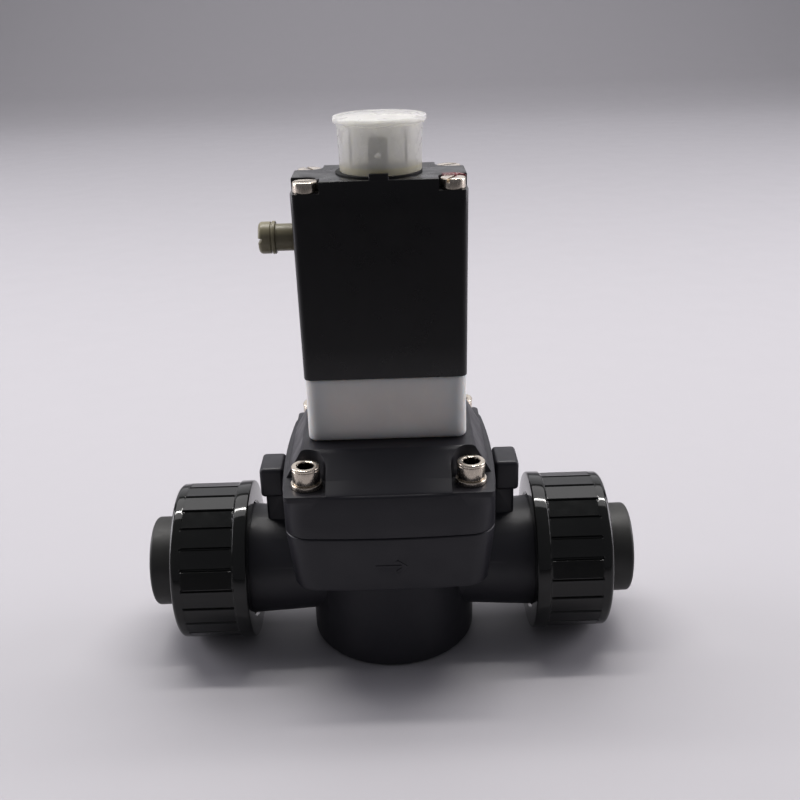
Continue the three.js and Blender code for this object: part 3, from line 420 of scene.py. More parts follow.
def finish_tree(tree, inlet, outlet, last):
    """Ends a tree with real geometry in its material."""
    real = put(tree, "GeometryNodeRealizeInstances")
    weld = put(tree, "GeometryNodeMergeByDistance")
    weld.inputs["Distance"].default_value = 2e-6
    paint = put(tree, "GeometryNodeSetMaterial")
    wire(
        tree,
        (last, 0, real, "Geometry"),
        (real, "Geometry", weld, "Geometry"),
        (weld, "Geometry", paint, "Geometry"),
        (inlet, "Material", paint, "Material"),
        (paint, "Geometry", outlet, "Geometry"),
    )
    return tree


def placed_copies(tree, inlet, points, turn, height):
    """Copies of the tree's own geometry on points, each turned, then lifted by a named input."""
    rotation = put(tree, "FunctionNodeEulerToRotation")
    copies = put(tree, "GeometryNodeInstanceOnPoints")
    lift = put(tree, "ShaderNodeCombineXYZ")
    place = put(tree, "GeometryNodeTransform")
    wire(
        tree,
        (turn, 0, rotation, 0),
        (points, 0, copies, "Points"),
        (inlet, "Geometry", copies, "Instance"),
        (rotation, 0, copies, "Rotation"),
        (inlet, height, lift, "Z"),
        (lift, 0, place, "Translation"),
        (copies, 0, place, "Geometry"),
    )
    return place


def copies_round_pipe():
    """Copies of one sector turned about the pipe axis."""
    tree, inlet, outlet = new_tree("copies round the pipe", ["Axis Height"], ["Count"])
    points = put(tree, "GeometryNodePoints")
    index = put(tree, "GeometryNodeInputIndex")
    share = put(tree, "ShaderNodeMath", operation="DIVIDE")
    angle = put(tree, "ShaderNodeMath", operation="MULTIPLY")
    angle.inputs[1].default_value = FULL_TURN
    turn = put(tree, "ShaderNodeCombineXYZ")
    wire(
        tree,
        (inlet, "Count", points, "Count"),
        (index, 0, share, 0),
        (inlet, "Count", share, 1),
        (share, 0, angle, 0),
        (angle, 0, turn, "X"),
    )
    place = placed_copies(tree, inlet, points, turn, "Axis Height")
    return finish_tree(tree, inlet, outlet, place)


def copies_on_corners():
    """Copies of one fastener on the corners of a rectangle, each turned by its own angle."""
    floats = ["Spacing X", "Spacing Y", "Height", "Turn"]
    tree, inlet, outlet = new_tree("copies on the corners", floats, ["Seed"])
    grid = put(tree, "GeometryNodeMeshGrid")
    grid.inputs["Vertices X"].default_value = 2
    grid.inputs["Vertices Y"].default_value = 2
    random = put(tree, "FunctionNodeRandomValue", data_type="FLOAT")
    low = put(tree, "ShaderNodeMath", operation="MULTIPLY")
    low.inputs[1].default_value = -1
    turn = put(tree, "ShaderNodeCombineXYZ")
    least, most = [s for s in random.inputs if s.type == "VALUE"][:2]
    seed = [s for s in random.inputs if s.name == "Seed"][0]
    value = [s for s in random.outputs if s.type == "VALUE"][0]
    tree.links.new(low.outputs[0], least)
    tree.links.new(inlet.outputs["Turn"], most)
    tree.links.new(inlet.outputs["Seed"], seed)
    tree.links.new(value, turn.inputs["Z"])
    wire(
        tree,
        (inlet, "Spacing X", grid, "Size X"),
        (inlet, "Spacing Y", grid, "Size Y"),
        (inlet, "Turn", low, 0),
    )
    place = placed_copies(tree, inlet, grid, turn, "Height")
    return finish_tree(tree, inlet, outlet, place)


def thread_tree():
    """A round thread along a helix about the pipe axis."""
    floats = ["Turns", "Radius", "Length", "Ridge", "Start", "Side", "Axis Height"]
    tree, inlet, outlet = new_tree("round thread", floats, [])
    helix = put(tree, "GeometryNodeCurveSpiral")
    helix.inputs["Resolution"].default_value = 48
    section = put(tree, "GeometryNodeCurvePrimitiveCircle")
    section.inputs["Resolution"].default_value = 8
    sweep = put(tree, "GeometryNodeCurveToMesh")
    sweep.inputs["Fill Caps"].default_value = True
    quarter = put(tree, "ShaderNodeMath", operation="MULTIPLY")
    quarter.inputs[1].default_value = FULL_TURN / 4
    tilt = put(tree, "ShaderNodeCombineXYZ")
    shift = put(tree, "ShaderNodeMath", operation="MULTIPLY")
    move = put(tree, "ShaderNodeCombineXYZ")
    place = put(tree, "GeometryNodeTransform")
    wire(
        tree,
        (inlet, "Turns", helix, "Rotations"),
        (inlet, "Radius", helix, "Start Radius"),
        (inlet, "Radius", helix, "End Radius"),
        (inlet, "Length", helix, "Height"),
        (inlet, "Ridge", section, "Radius"),
        (helix, 0, sweep, "Curve"),
        (section, 0, sweep, "Profile Curve"),
        (inlet, "Side", quarter, 0),
        (quarter, 0, tilt, "Y"),
        (inlet, "Start", shift, 0),
        (inlet, "Side", shift, 1),
        (shift, 0, move, "X"),
        (inlet, "Axis Height", move, "Z"),
        (tilt, 0, place, "Rotation"),
        (move, 0, place, "Translation"),
        (sweep, 0, place, "Geometry"),
    )
    return finish_tree(tree, inlet, outlet, place)


def grown(thing, tree, values, sharp=32):
    """The object after a node tree with the given inputs, as plain mesh."""
    step = thing.modifiers.new(tree.name, "NODES")
    step.node_group = tree
    for item in tree.interface.items_tree:
        if item.in_out == "INPUT" and item.name in values:
            step[item.identifier] = values[item.name]
    return settled(thing, sharp)


# ---------------------------------------------------------------- finishes


class Finish:
    """A node material around one Principled shader, patterned on Object coordinates."""

    def __init__(self, name):
        self.material = bpy.data.materials.new(name)
        self.material.use_nodes = True
        self.tree = self.material.node_tree
        self.shader = self.tree.nodes["Principled BSDF"]
        self.place = self.tree.nodes.new("ShaderNodeTexCoord").outputs["Object"]

    def set(self, **values):
        for key, value in values.items():
            self.shader.inputs[key.replace("_", " ")].default_value = value

    def stretched(self, scale):
        mapping = self.tree.nodes.new("ShaderNodeMapping")
        mapping.inputs["Scale"].default_value = scale
        self.tree.links.new(self.place, mapping.inputs["Vector"])
        return mapping.outputs[0]

    def noise(self, scale, detail=3.0, rough=0.5, place=None):
        made = self.tree.nodes.new("ShaderNodeTexNoise")
        made.inputs["Scale"].default_value = scale
        made.inputs["Detail"].default_value = detail
        made.inputs["Roughness"].default_value = rough
        self.tree.links.new(place or self.place, made.inputs["Vector"])
        return made.outputs["Fac"]

    def along(self, axis):
        split = self.tree.nodes.new("ShaderNodeSeparateXYZ")
        self.tree.links.new(self.place, split.inputs[0])
        return split.outputs[axis]

    def ranged(self, value, low, high, from_low=0.3, from_high=0.7):
        made = self.tree.nodes.new("ShaderNodeMapRange")
        limits = {"From Min": from_low, "From Max": from_high, "To Min": low, "To Max": high}
        for key, number in limits.items():
            made.inputs[key].default_value = number
        self.tree.links.new(value, made.inputs["Value"])
        return made.outputs["Result"]

    def colour(self, value, first, second):
        """Blends two colours, each a plain one or a socket, into the base colour."""
        made = self.tree.nodes.new("ShaderNodeMix")
        made.data_type = "RGBA"
        for slot, tint in zip([s for s in made.inputs if s.type == "RGBA"], (first, second)):
            if isinstance(tint, bpy.types.NodeSocket):
                self.tree.links.new(tint, slot)
            else:
                slot.default_value = (*tint, 1)
        self.tree.links.new(value, made.inputs["Factor"])
        blend = [s for s in made.outputs if s.type == "RGBA"][0]
        self.tree.links.new(blend, self.shader.inputs["Base Color"])

    def roughness(self, value, low, high):
        self.tree.links.new(self.ranged(value, low, high), self.shader.inputs["Roughness"])

    def bump(self, value, strength, distance):
        made = self.tree.nodes.new("ShaderNodeBump")
        made.inputs["Strength"].default_value = strength
        made.inputs["Distance"].default_value = distance
        self.tree.links.new(value, made.inputs["Height"])
        self.tree.links.new(made.outputs["Normal"], self.shader.inputs["Normal"])


def shade(colour, factor):
    return tuple(min(1.0, c * factor) for c in colour)


def moulded(name, colour, rough, grain=1400, depth=0.00002, spread=0.16, strength=0.35):
    """A moulded plastic: cloudy colour, uneven sheen and a fine skin."""
    finish = Finish(name)
    cloud = finish.ranged(finish.noise(38, 4, 0.6), 0, 1)
    finish.colour(cloud, shade(colour, 1 - spread), shade(colour, 1 + spread))
    finish.roughness(finish.noise(160, 4, 0.6), rough * 0.85, rough * 1.15)
    finish.bump(finish.noise(grain, 3, 0.6), strength, depth)
    return finish.material


def metal_finish(name, colour, rough, stretch=(1, 1, 1), grain=2500, spread=0.08):
    """A machined metal with fine lines along one direction."""
    finish = Finish(name)
    lines = finish.noise(grain, 2, 0.5, finish.stretched(stretch))
    cloud = finish.ranged(finish.noise(210, 4, 0.6), 0, 1)
    finish.colour(cloud, shade(colour, 1 - spread), shade(colour, 1 + spread))
    finish.roughness(lines, rough * 0.75, rough * 1.3)
    finish.bump(lines, 0.08, 0.00001)
    finish.set(Metallic=1.0)
    return finish


def metal(*values):
    return metal_finish(*values).material


def body_plastic():
    """Satin PVC with pale handling scuffs."""
    colour = tuple(colours().body)
    finish = Finish("satin_body_pvc")
    scuffs = finish.ranged(finish.noise(420, 6, 0.7, finish.stretched((1, 0.35, 1.6))), 0, 1, 0.66, 0.8)
    finish.colour(scuffs, colour, shade(colour, 1.9))
    finish.roughness(finish.noise(120, 4, 0.6), 0.36, 0.5)
    finish.bump(finish.noise(1500, 3, 0.6), 0.3, 0.00002)
    finish.set(Specular_IOR_Level=0.5)
    return finish.material


def nut_plastic():
    """Glossy black moulding with faint flow waves."""
    colour = tuple(colours().nut)
    finish = Finish("gloss_nut_black")
    cloud = finish.ranged(finish.noise(60, 3, 0.5), 0, 1)
    finish.colour(cloud, shade(colour, 0.8), shade(colour, 1.3))
    finish.roughness(finish.noise(300, 5, 0.65), 0.05, 0.11)
    finish.bump(finish.noise(150, 2, 0.4), 0.16, 0.0001)
    return finish.material


def pilot_plastic():
    """Natural white moulding that lets a little light in."""
    colour = tuple(colours().pilot)
    finish = Finish("natural_pilot_white")
    cloud = finish.ranged(finish.noise(55, 4, 0.55), 0, 1)
    finish.colour(cloud, shade(colour, 0.95), shade(colour, 1.04))
    finish.roughness(finish.noise(200, 3, 0.5), 0.38, 0.5)
    finish.bump(finish.noise(900, 3, 0.6), 0.2, 0.00002)
    finish.set(Subsurface_Weight=0.8, Subsurface_Radius=(0.008, 0.0065, 0.0055), Subsurface_Scale=1.0)
    return finish.material


def cap_plastic():
    """Milky polyethylene, a little yellow at its thick foot."""
    colour = tuple(colours().cap)
    finish = Finish("milky_cap")
    foot = (CAP_LOW[2] + 2.2) * MM
    band = finish.ranged(finish.along("Z"), 0, 1, foot - 0.0004, foot + 0.0004)
    finish.colour(band, (0.85, 0.8, 0.62), colour)
    finish.roughness(finish.noise(140, 4, 0.6), 0.22, 0.36)
    finish.bump(finish.noise(240, 3, 0.5), 0.12, 0.00008)
    finish.set(Alpha=0.5)
    finish.set(Subsurface_Weight=1.0, Subsurface_Radius=(0.005, 0.005, 0.0045), Subsurface_Scale=1.0)
    return finish.material


def lacquer():
    colour = tuple(colours().lacquer)
    finish = Finish("red_sealing_lacquer")
    finish.colour(finish.ranged(finish.noise(500, 3, 0.5), 0, 1), shade(colour, 0.6), shade(colour, 1.5))
    finish.roughness(finish.noise(400, 2, 0.5), 0.12, 0.25)
    finish.bump(finish.noise(700, 2, 0.5), 0.3, 0.0001)
    return finish.material


def winding_copper():
    """Enamelled wire laid turn beside turn."""
    finish = Finish("enamelled_copper_wire")
    wave = finish.tree.nodes.new("ShaderNodeTexWave")
    wave.bands_direction = "Z"
    wave.inputs["Scale"].default_value = 900
    wave.inputs["Distortion"].default_value = 0.6
    finish.tree.links.new(finish.place, wave.inputs["Vector"])
    finish.colour(wave.outputs["Fac"], (0.3, 0.1, 0.035), (0.66, 0.27, 0.11))
    finish.roughness(finish.noise(600, 3, 0.5), 0.25, 0.4)
    finish.bump(wave.outputs["Fac"], 0.5, 0.0001)
    finish.set(Metallic=1.0)
    return finish.material


def inner_finishes():
    """Materials for the frame nodes that stay in view, by the record's material slot."""
    return {
        "body_plastic": moulded("inner_body_pvc", tuple(colours().body), 0.45),
        "bobbin_plastic": moulded("bobbin_cream", (0.62, 0.56, 0.4), 0.5),
        "rubber": moulded("matt_rubber", (0.011, 0.011, 0.011), 0.72, grain=900, depth=0.00004),
        "steel": metal("spring_steel", (0.5, 0.48, 0.45), 0.3, (1, 1, 0.2)),
        "soft_iron": metal("plated_soft_iron", (0.4, 0.4, 0.38), 0.42, (0.3, 1, 1)),
        "brass": metal("turned_brass", (0.6, 0.44, 0.17), 0.3, (1, 1, 0.1)),
        "copper": winding_copper(),
        "tinned": metal("tinned_contact", (0.16, 0.17, 0.14), 0.45, (1, 1, 0.25)),
    }


# ---------------------------------------------------------------- outlines shared by body and bonnet

BASE_R = 30.5
NECK_R = 20.1
PIPE_BORE_R = 9.5
RECESS_R = 29.7
RECESS_DEPTH = 1.6
LONG_HOLE_R = 2.15
ARROW_Z = 46.3
FLANGE_HALF_MIDDLE = 37.5
FLANGE_HALF_CORNER = 36.4
FLANGE_CORNER_R = 9.5
FLANGE_LOW_Z = 36.0
BODY_DRAFT = 0.94
BONNET_TOP_Z = 74.0


def flange_ring(scale=1.0):
    """The square with bulging sides and round corners."""
    corner = FLANGE_HALF_CORNER - FLANGE_CORNER_R
    bulge = 2 * FLANGE_HALF_MIDDLE - FLANGE_HALF_CORNER
    arc_steps = 12
    side_steps = 16
    points = []
    for k in range(4):
        turn = Matrix.Rotation(FULL_TURN / 4 * k, 2)
        for i in range(side_steps):
            t = i / side_steps
            x = (1 - t) ** 2 * FLANGE_HALF_CORNER + 2 * t * (1 - t) * bulge + t * t * FLANGE_HALF_CORNER
            y = -corner + 2 * corner * t
            points.append(turn @ Vector((x, y)))
        for i in range(arc_steps):
            angle = FULL_TURN / 4 * i / arc_steps
            x = corner + FLANGE_CORNER_R * math.cos(angle)
            y = corner + FLANGE_CORNER_R * math.sin(angle)
            points.append(turn @ Vector((x, y)))
    return [(p.x * scale, p.y * scale) for p in points]


def flange_scale(z):
    return BODY_DRAFT + (1 - BODY_DRAFT) * (z - FLANGE_LOW_Z) / (JOINT_Z - FLANGE_LOW_Z)


# ---------------------------------------------------------------- body


def base_drum():
    return turned("base", rounded([(0, 0), (BASE_R, 0, 2.4), (BASE_R, 38), (0, 38)], False), 128)


def drafted_flange(edge):
    rings = rounded_slab(flange_ring(), FLANGE_LOW_Z, JOINT_Z, 0.6, edge, 4)
    scaled = [[(x * flange_scale(z), y * flange_scale(z), z) for x, y, z in ring] for ring in rings]
    return skin("flange", scaled)


def neck(side):
    shank = [(0, 20), (18.8, 20), (20.6, 52.6, 0.4)]
    threaded = [(NECK_R, 53.4), (NECK_R, 70.4, 0.3), (NECK_R - 0.7, 71), (0, 71)]
    profile = rounded(shank + threaded, False)
    return turned_on_pipe("neck", profile, side, 96)


def neck_thread(side, material):
    """The ridge of the round thread, swept along the neck."""
    pitch = sizes().thread_pitch
    ridge = 0.72
    length = 15.2 * MM
    seed = new_object("thread", [(0, 0, 0), (1, 0, 0), (0, 1, 0)], [(0, 1, 2)])
    values = {
        "Turns": length / pitch,
        "Radius": (20.88 - ridge) * MM,
        "Length": length,
        "Ridge": ridge * MM,
        "Start": 54.6 * MM,
        "Side": float(side),
        "Axis Height": PIPE_Z * MM,
        "Material": material,
    }
    return grown(seed, thread_tree(), values, 50)


def lug(side):
    outer = brick("lug", *sorted_corners((38.2 * side, -7.2, 59), (47 * side, 7.2, 70.5)), 1.5, 4)
    column = brick("lug column", *sorted_corners((38.2 * side, -5.6, 42), (45.4 * side, 5.6, 60)), 0.9)
    return [outer, column]


def sorted_corners(a, b):
    return tuple(map(min, a, b)), tuple(map(max, a, b))


def flow_arrow():
    """A plain arrow that follows the flange's sloping front."""
    stroke = 0.42
    shaft = [(-5.4, -stroke), (3.6, -stroke)]
    barb = [(1.6, -2.0), (2.2, -2.6)]
    half = shaft + barb
    outline = half + [(5.6, 0)] + [(x, -rise) for x, rise in reversed(half)]
    rings = []
    for depth in (1.2, -sizes().arrow_height / MM):
        ring = []
        for x, rise in outline:
            front = FLANGE_HALF_MIDDLE * flange_scale(ARROW_Z + rise)
            ring.append((x, depth - front + 0.0011 * x * x, ARROW_Z + rise))
        rings.append(ring)
    return skin("arrow", rings)


def body_cutters():
    """The waterways, the diaphragm's recess, the seal grooves and the holes for the inserts."""
    chamber = [(12.5, 45), (24, 45, 1), (24, 60), (0, 60), (0, 54.5), (11.3, 54.5), (12.5, 53.3)]
    recess_z = JOINT_Z - RECESS_DEPTH
    cutters = [
        turned("chamber", rounded(chamber, False), 96, True),
        turned("recess", [(0, recess_z), (RECESS_R, recess_z), (RECESS_R, 60), (0, 60)], 96),
        drilled("inlet", (-72, 0, PIPE_Z), (-14, 0, PIPE_Z), PIPE_BORE_R),
        drilled("riser", (-18, 0, PIPE_Z), (-18, 0, 47), 5.5),
        drilled("outlet", (0, 0, PIPE_Z), (72, 0, PIPE_Z), PIPE_BORE_R),
        drilled("seat", (0, 0, PIPE_Z), (0, 0, 56), PIPE_BORE_R),
    ]
    for side in (-1, 1):
        groove = [(12.4, 68.4), (15.6, 68.4), (15.6, 72), (12.4, 72)]
        cutters.append(turned_on_pipe("groove", groove, side, 72, True))
    for sx, sy in CORNERS:
        at = (sx * SCREW_AT, sy * SCREW_AT)
        cutters.append(drilled("insert hole", (*at, 45.6), (*at, 60), 4.35, 32))
    return cutters


class ValveBody(bpy.types.Operator):
    """Build the body: round base, lower flange, threaded necks, lugs and flow arrow"""

    bl_idname = "valve.body"
    bl_label = "Body"

    def execute(self, context):
        edge = sizes().edge_rounding / MM
        material = body_plastic()
        body = drafted_flange(edge)
        parts = [base_drum(), neck(-1), neck(1), *lug(-1), *lug(1), flow_arrow()]
        combine(body, parts, "UNION")
        combine(body, body_cutters(), "DIFFERENCE")
        softened(body, 0.00025, 38, 2)
        threads = [neck_thread(side, material) for side in (-1, 1)]
        combine(body, threads, "UNION")
        body.name = "body_moulding"
        dress(body, "valve", material, "body_plastic", "valve_body")
        return {"FINISHED"}


# ---------------------------------------------------------------- bonnet


def height_curve(points, radius):
    """Half width against height, with its corners eased."""
    eased = rounded([(w, z, radius) for w, z in points], False, 6)

    def half_at(z):
        for (w0, z0), (w1, z1) in zip(eased, eased[1:]):
            if z0 <= z <= z1 and z1 > z0:
                return w0 + (w1 - w0) * (z - z0) / (z1 - z0)
        return eased[0][0] if z < eased[0][1] else eased[-1][0]

    return half_at


def bonnet_roof():
    """Front and back slopes, steeper flanks and the flat platform with its eased edge."""
    across = height_curve([(36.6, 72), (36.6, 74), (23.0, 83.8), (21.6, PLATFORM_Z)], 0.4)
    along = height_curve([(35.5, 72), (35.5, 74), (30.1, 83.7), (29.2, PLATFORM_Z)], 0.4)
    rings = []
    for z in [72 + 0.5 * i for i in range(24)] + [83.7, 83.9, 84.1, 84.25, 84.38]:
        ring = rounded_rectangle(along(z), across(z), 1.8, 8, 6)
        rings.append([(x, y, z) for x, y in ring])
    top = rounded_rectangle(along(PLATFORM_Z), across(PLATFORM_Z), 1.8, 8, 6)
    for sunk, shift in ((0.05, 0.0), (0.0, 0.4)):
        rings.append([(x, y, PLATFORM_Z - sunk) for x, y in inset(top, shift)])
    rings.sort(key=lambda ring: ring[0][2])
    return skin("roof", rings, sharp=45)


def corner_cutters(at_x, at_y, radius, steps, low, high):
    """The four corners cut away round upright screws, each open to both outer sides."""
    far = 60
    ring = [(far, far), (at_x - radius, far)]
    for i in range(steps + 1):
        angle = FULL_TURN / 2 + FULL_TURN / 4 * i / steps
        ring.append((at_x + radius * math.cos(angle), at_y + radius * math.sin(angle)))
    ring.append((far, at_y - radius))
    cutters = []
    for sx, sy in CORNERS:
        cutters.append(skin("corner", [[(x * sx, y * sy, z) for x, y in ring] for z in (low, high)]))
    return cutters


def long_holes(low, high):
    """The four bores for the long housing screws."""
    holes = []
    for sx, sy in CORNERS:
        at = (sx * LONG_AT_X, sy * LONG_AT_Y)
        holes.append(drilled("long hole", (*at, low), (*at, high), LONG_HOLE_R, 24))
    return holes


class ValveBonnet(bpy.types.Operator):
    """Build the bonnet: square plate, sloping roof and four screw pockets"""

    bl_idname = "valve.bonnet"
    bl_label = "Bonnet"

    def execute(self, context):
        edge = sizes().edge_rounding / MM
        plate = skin("plate", rounded_slab(flange_ring(), JOINT_Z, BONNET_TOP_Z, edge, edge + 0.3, 3))
        roof = bonnet_roof()
        combine(roof, corner_cutters(SCREW_AT, SCREW_AT, 6.8, 16, BONNET_TOP_Z, 90), "DIFFERENCE", 45)
        combine(plate, [roof], "UNION", 45)
        recess_z = JOINT_Z + RECESS_DEPTH
        cutters = [
            turned("recess", [(0, 50), (RECESS_R, 50), (RECESS_R, recess_z), (0, recess_z)], 96),
            turned("chamber", [(0, 50), (23.5, 50), (23.5, 68), (0, 68)], 96),
            turned("spring seat", [(0, 60), (9, 60), (9, 71), (0, 71)], 64),
        ]
        for sx, sy in CORNERS:
            at = (sx * SCREW_AT, sy * SCREW_AT)
            cutters.append(drilled("hole", (*at, 50), (*at, 80), 3.3, 32))
        cutters += long_holes(75.4, 90)
        combine(plate, cutters, "DIFFERENCE", 45)
        softened(plate, 0.00035, 42, 2)
        plate.name = "bonnet_cover"
        dress(plate, "valve", body_plastic(), "body_plastic", "bonnet")
        return {"FINISHED"}


# ---------------------------------------------------------------- union nuts and ends


def nut_profile():
    """(radius, distance, share of groove depth) round the section of a nut."""
    inner = NUT_LOW[0]
    outer = NUT_HIGH[0]
    tail = inner + 21.9
    collar = rounded([(25, inner), (29.45, inner, 0.7), (29.45, inner + 2)], False)[1:]
    rim = rounded([(28.8, tail + 2.2), (28.8, outer, 2.2), (24, outer)], False, 7)
    outline = [(21.15, inner + 0.8, 0), (21.95, inner, 0)]
    outline += [(radius, along, 0) for radius, along in collar]
    for radius, along in ((29.45, 4.4), (29.36, 4.72), (29.1, 4.86), (28.88, 5), (28.8, 5.25)):
        outline.append((radius, inner + along, 0))
    outline += [(28.8, inner + 5.5, 0.75)]
    outline += [(28.8, inner + 5.7 + 1.8 * k, 1) for k in range(10)]
    outline += [(28.8, tail + along, sunk) for along, sunk in ((1.1, 1), (1.5, 0.8), (1.8, 0.35), (2.05, 0))]
    outline += [(radius, along, 0) for radius, along in rim]
    for radius, back in ((17.6, 0), (17.0, 0.25), (16.85, 0.6), (16.85, 2.9), (21.15, 2.9)):
        outline.append((radius, outer - back, 0))
    return outline


def nut_sector(side, count):
    """One panel of a nut with half a groove on each side, about an axis through the origin."""
    depth = sizes().groove_depth / MM
    half = 180 / count
    marks = [(-1.0, 1.0), (-0.955, 1.0), (-0.91, 0.72), (-0.87, 0.22), (-0.83, 0.0)]
    flats = [-0.55, -0.28, 0.0, 0.28, 0.55]
    angles = marks + [(f, 0.0) for f in flats] + [(-m, s) for m, s in reversed(marks)]
    edge = math.cos(math.radians(half * 0.83))
    profile = nut_profile()
    points = []
    for radius, along, groove in profile:
        for share, sunk in angles:
            angle = math.radians(share * half)
            flat = edge / math.cos(angle) if abs(share) < 0.83 and groove > 0.5 else 1.0
            r = radius * flat - depth * groove * sunk
            points.append((side * along, r * math.sin(angle), r * math.cos(angle)))
    width = len(angles)
    faces = []
    for i in range(len(profile)):
        j = (i + 1) % len(profile)
        for k in range(width - 1):
            faces.append((i * width + k, i * width + k + 1, j * width + k + 1, j * width + k))
    return new_object("sector", points, faces)


class ValveNuts(bpy.types.Operator):
    """Build both union nuts from one panel copied round the pipe"""

    bl_idname = "valve.nuts"
    bl_label = "Union nuts"

    def execute(self, context):
        material = nut_plastic()
        tree = copies_round_pipe()
        count = sizes().panel_count
        for name, side in (("left", -1), ("right", 1)):
            values = {"Count": count, "Axis Height": PIPE_Z * MM, "Material": material}
            nut = grown(nut_sector(side, count), tree, values, 28)
            nut.name = f"{name}_nut_moulding"
            dress(nut, f"{name}_nut", material, "nut_plastic", f"{name}_union_nut")
        return {"FINISHED"}


class ValveUnionEnds(bpy.types.Operator):
    """Build the socket ends that the nuts hold"""

    bl_idname = "valve.union_ends"
    bl_label = "Union ends"

    def execute(self, context):
        grey = tuple(colours().pipe_end)
        finish = moulded("matte_union_grey", grey, 0.48, grain=1100, depth=0.00003, spread=0.25)
        inner, face = END_LOW[0], END_HIGH[0]
        profile = rounded(
            [
                (10, inner, 0.2),
                (20, inner, 0.5),
                (20, 76.1, 0.4),
                (16.6, 76.1, 0.3),
                (16.55, face, 1.3),
                (12.5, face, 0.9),
                (12.4, face - 16, 0.3),
                (10, face - 16, 0.4),
            ],
            True,
            5,
        )
        for name, side in (("left", -1), ("right", 1)):
            end = turned_on_pipe(f"{name}_socket_end", profile, side, 128, True)
            dress(end, f"{name}_union", finish, "body_plastic", f"{name}_union_end")
        return {"FINISHED"}


# ---------------------------------------------------------------- screws

WASHER_THICKNESS = 1.6
PLAY = 0.05
SCREW_SEAT_Z = BONNET_TOP_Z + PLAY + WASHER_THICKNESS + PLAY
LONG_SEAT_Z = 170.65
# Radii of the painted shade in the hexagon sockets: full shade within the first, none beyond the second.
SOCKET_FULL_SHADE_R = 2.7
SOCKET_SHADE_END_R = 3.1


def hexagon(width, z, count):
    """A hexagon across flats, sampled like a circle."""
    points = []
    for i in range(count):
        angle = FULL_TURN * i / count
        nearest = (angle + FULL_TURN / 12) % (FULL_TURN / 6) - FULL_TURN / 12
        r = width / 2 / math.cos(nearest)
        points.append((r * math.cos(angle), r * math.sin(angle), z))
    return points


def socket_screw():
    """A socket head screw with the plain washer under it; the head stands on height 0."""
    top = SCREW_HIGH[2] - SCREW_SEAT_Z
    head = 4.8
    count = 72
    outline = rounded(
        [
            (0, -29.5),
            (2.4, -29.5),
            (2.95, -28.9),
            (2.95, 0),
            (4.6, 0, 0.2),
            (head - 0.08, 0.4),
            (head - 0.08, top - 1.25, 0.1),
            (head - 0.28, top - 1.1, 0.1),
            (head, top - 0.9, 0.1),
            (head, top, 0.75),
            (3.5, top),
        ],
        False,
        5,
    )
    rings = [circle(r, z, count) for r, z in outline]
    rings += [circle(3.2, top - 0.05, count)]
    rings += [hexagon(5.3, top - 0.3, count), hexagon(5.0, top - 0.6, count), hexagon(5.0, top - 4.2, count)]
    rings += [circle(1.2, top - 4.6, count), [(0, 0, top - 4.8)]]
    screw = skin("screw", rings, sharp=28)
    washer = turned(
        "washer",
        rounded([(3.15, -1.65, 0.1), (5.35, -1.65, 0.15), (5.35, -0.05, 0.3), (3.15, -0.05, 0.15)], True, 3),
        72,
        True,
    )
    return joined(screw, washer)


def joined(first, *others):
    """Several meshes as the loose parts of one."""
    work = bmesh.new()
    for thing in (first, *others):
        work.from_mesh(thing.data)
    work.to_mesh(first.data)
    work.free()
    for other in others:
        bpy.data.objects.remove(other)
    return first


def cheese_screw():
    """A slotted cheese head screw; the head stands on height 0."""
    top = LONG_HIGH[2] - LONG_SEAT_Z
    shank = [(0, -94.6), (1.6, -94.6), (2, -94.2), (2, 0)]
    head = [(4.1, 0, 0.2), (4.1, top, 0.5), (2.5, top), (0, top)]
    screw = turned("long screw", rounded(shank + head, False, 4), 64)
    slot = brick("slot", (-6, -0.5, top - 1.3), (6, 0.5, top + 2))
    combine(screw, [slot], "DIFFERENCE", 28)
    return softened(screw, 0.00012, 40, 2, 28)


def painted_socket_shade(finish):
    """Paints shade into the steel of the deep hexagon sockets, a painted shade where the recess lies dark.
    """
    tree = finish.tree
    flat = put(tree, "ShaderNodeCombineXYZ")
    for axis in ("X", "Y"):
        positive = put(tree, "ShaderNodeMath", operation="ABSOLUTE")
        offset = put(tree, "ShaderNodeMath", operation="SUBTRACT")
        offset.inputs[1].default_value = SCREW_AT * MM
        tree.links.new(finish.along(axis), positive.inputs[0])
        wire(tree, (positive, 0, offset, 0), (offset, 0, flat, axis))
    reach = put(tree, "ShaderNodeVectorMath", operation="LENGTH")
    wire(tree, (flat, 0, reach, 0))
    bright = finish.shader.inputs["Base Color"].links[0].from_socket
    # Painted shade: the steel is blended to near black within 2.7 mm of each socket's centre, fading out by
    # 3.1 mm.
    socket_shade_mask = finish.ranged(reach.outputs["Value"], 1, 0, SOCKET_FULL_SHADE_R * MM, SOCKET_SHADE_END_R * MM)
    finish.colour(socket_shade_mask, bright, (0.012, 0.009, 0.006))
    return finish.material


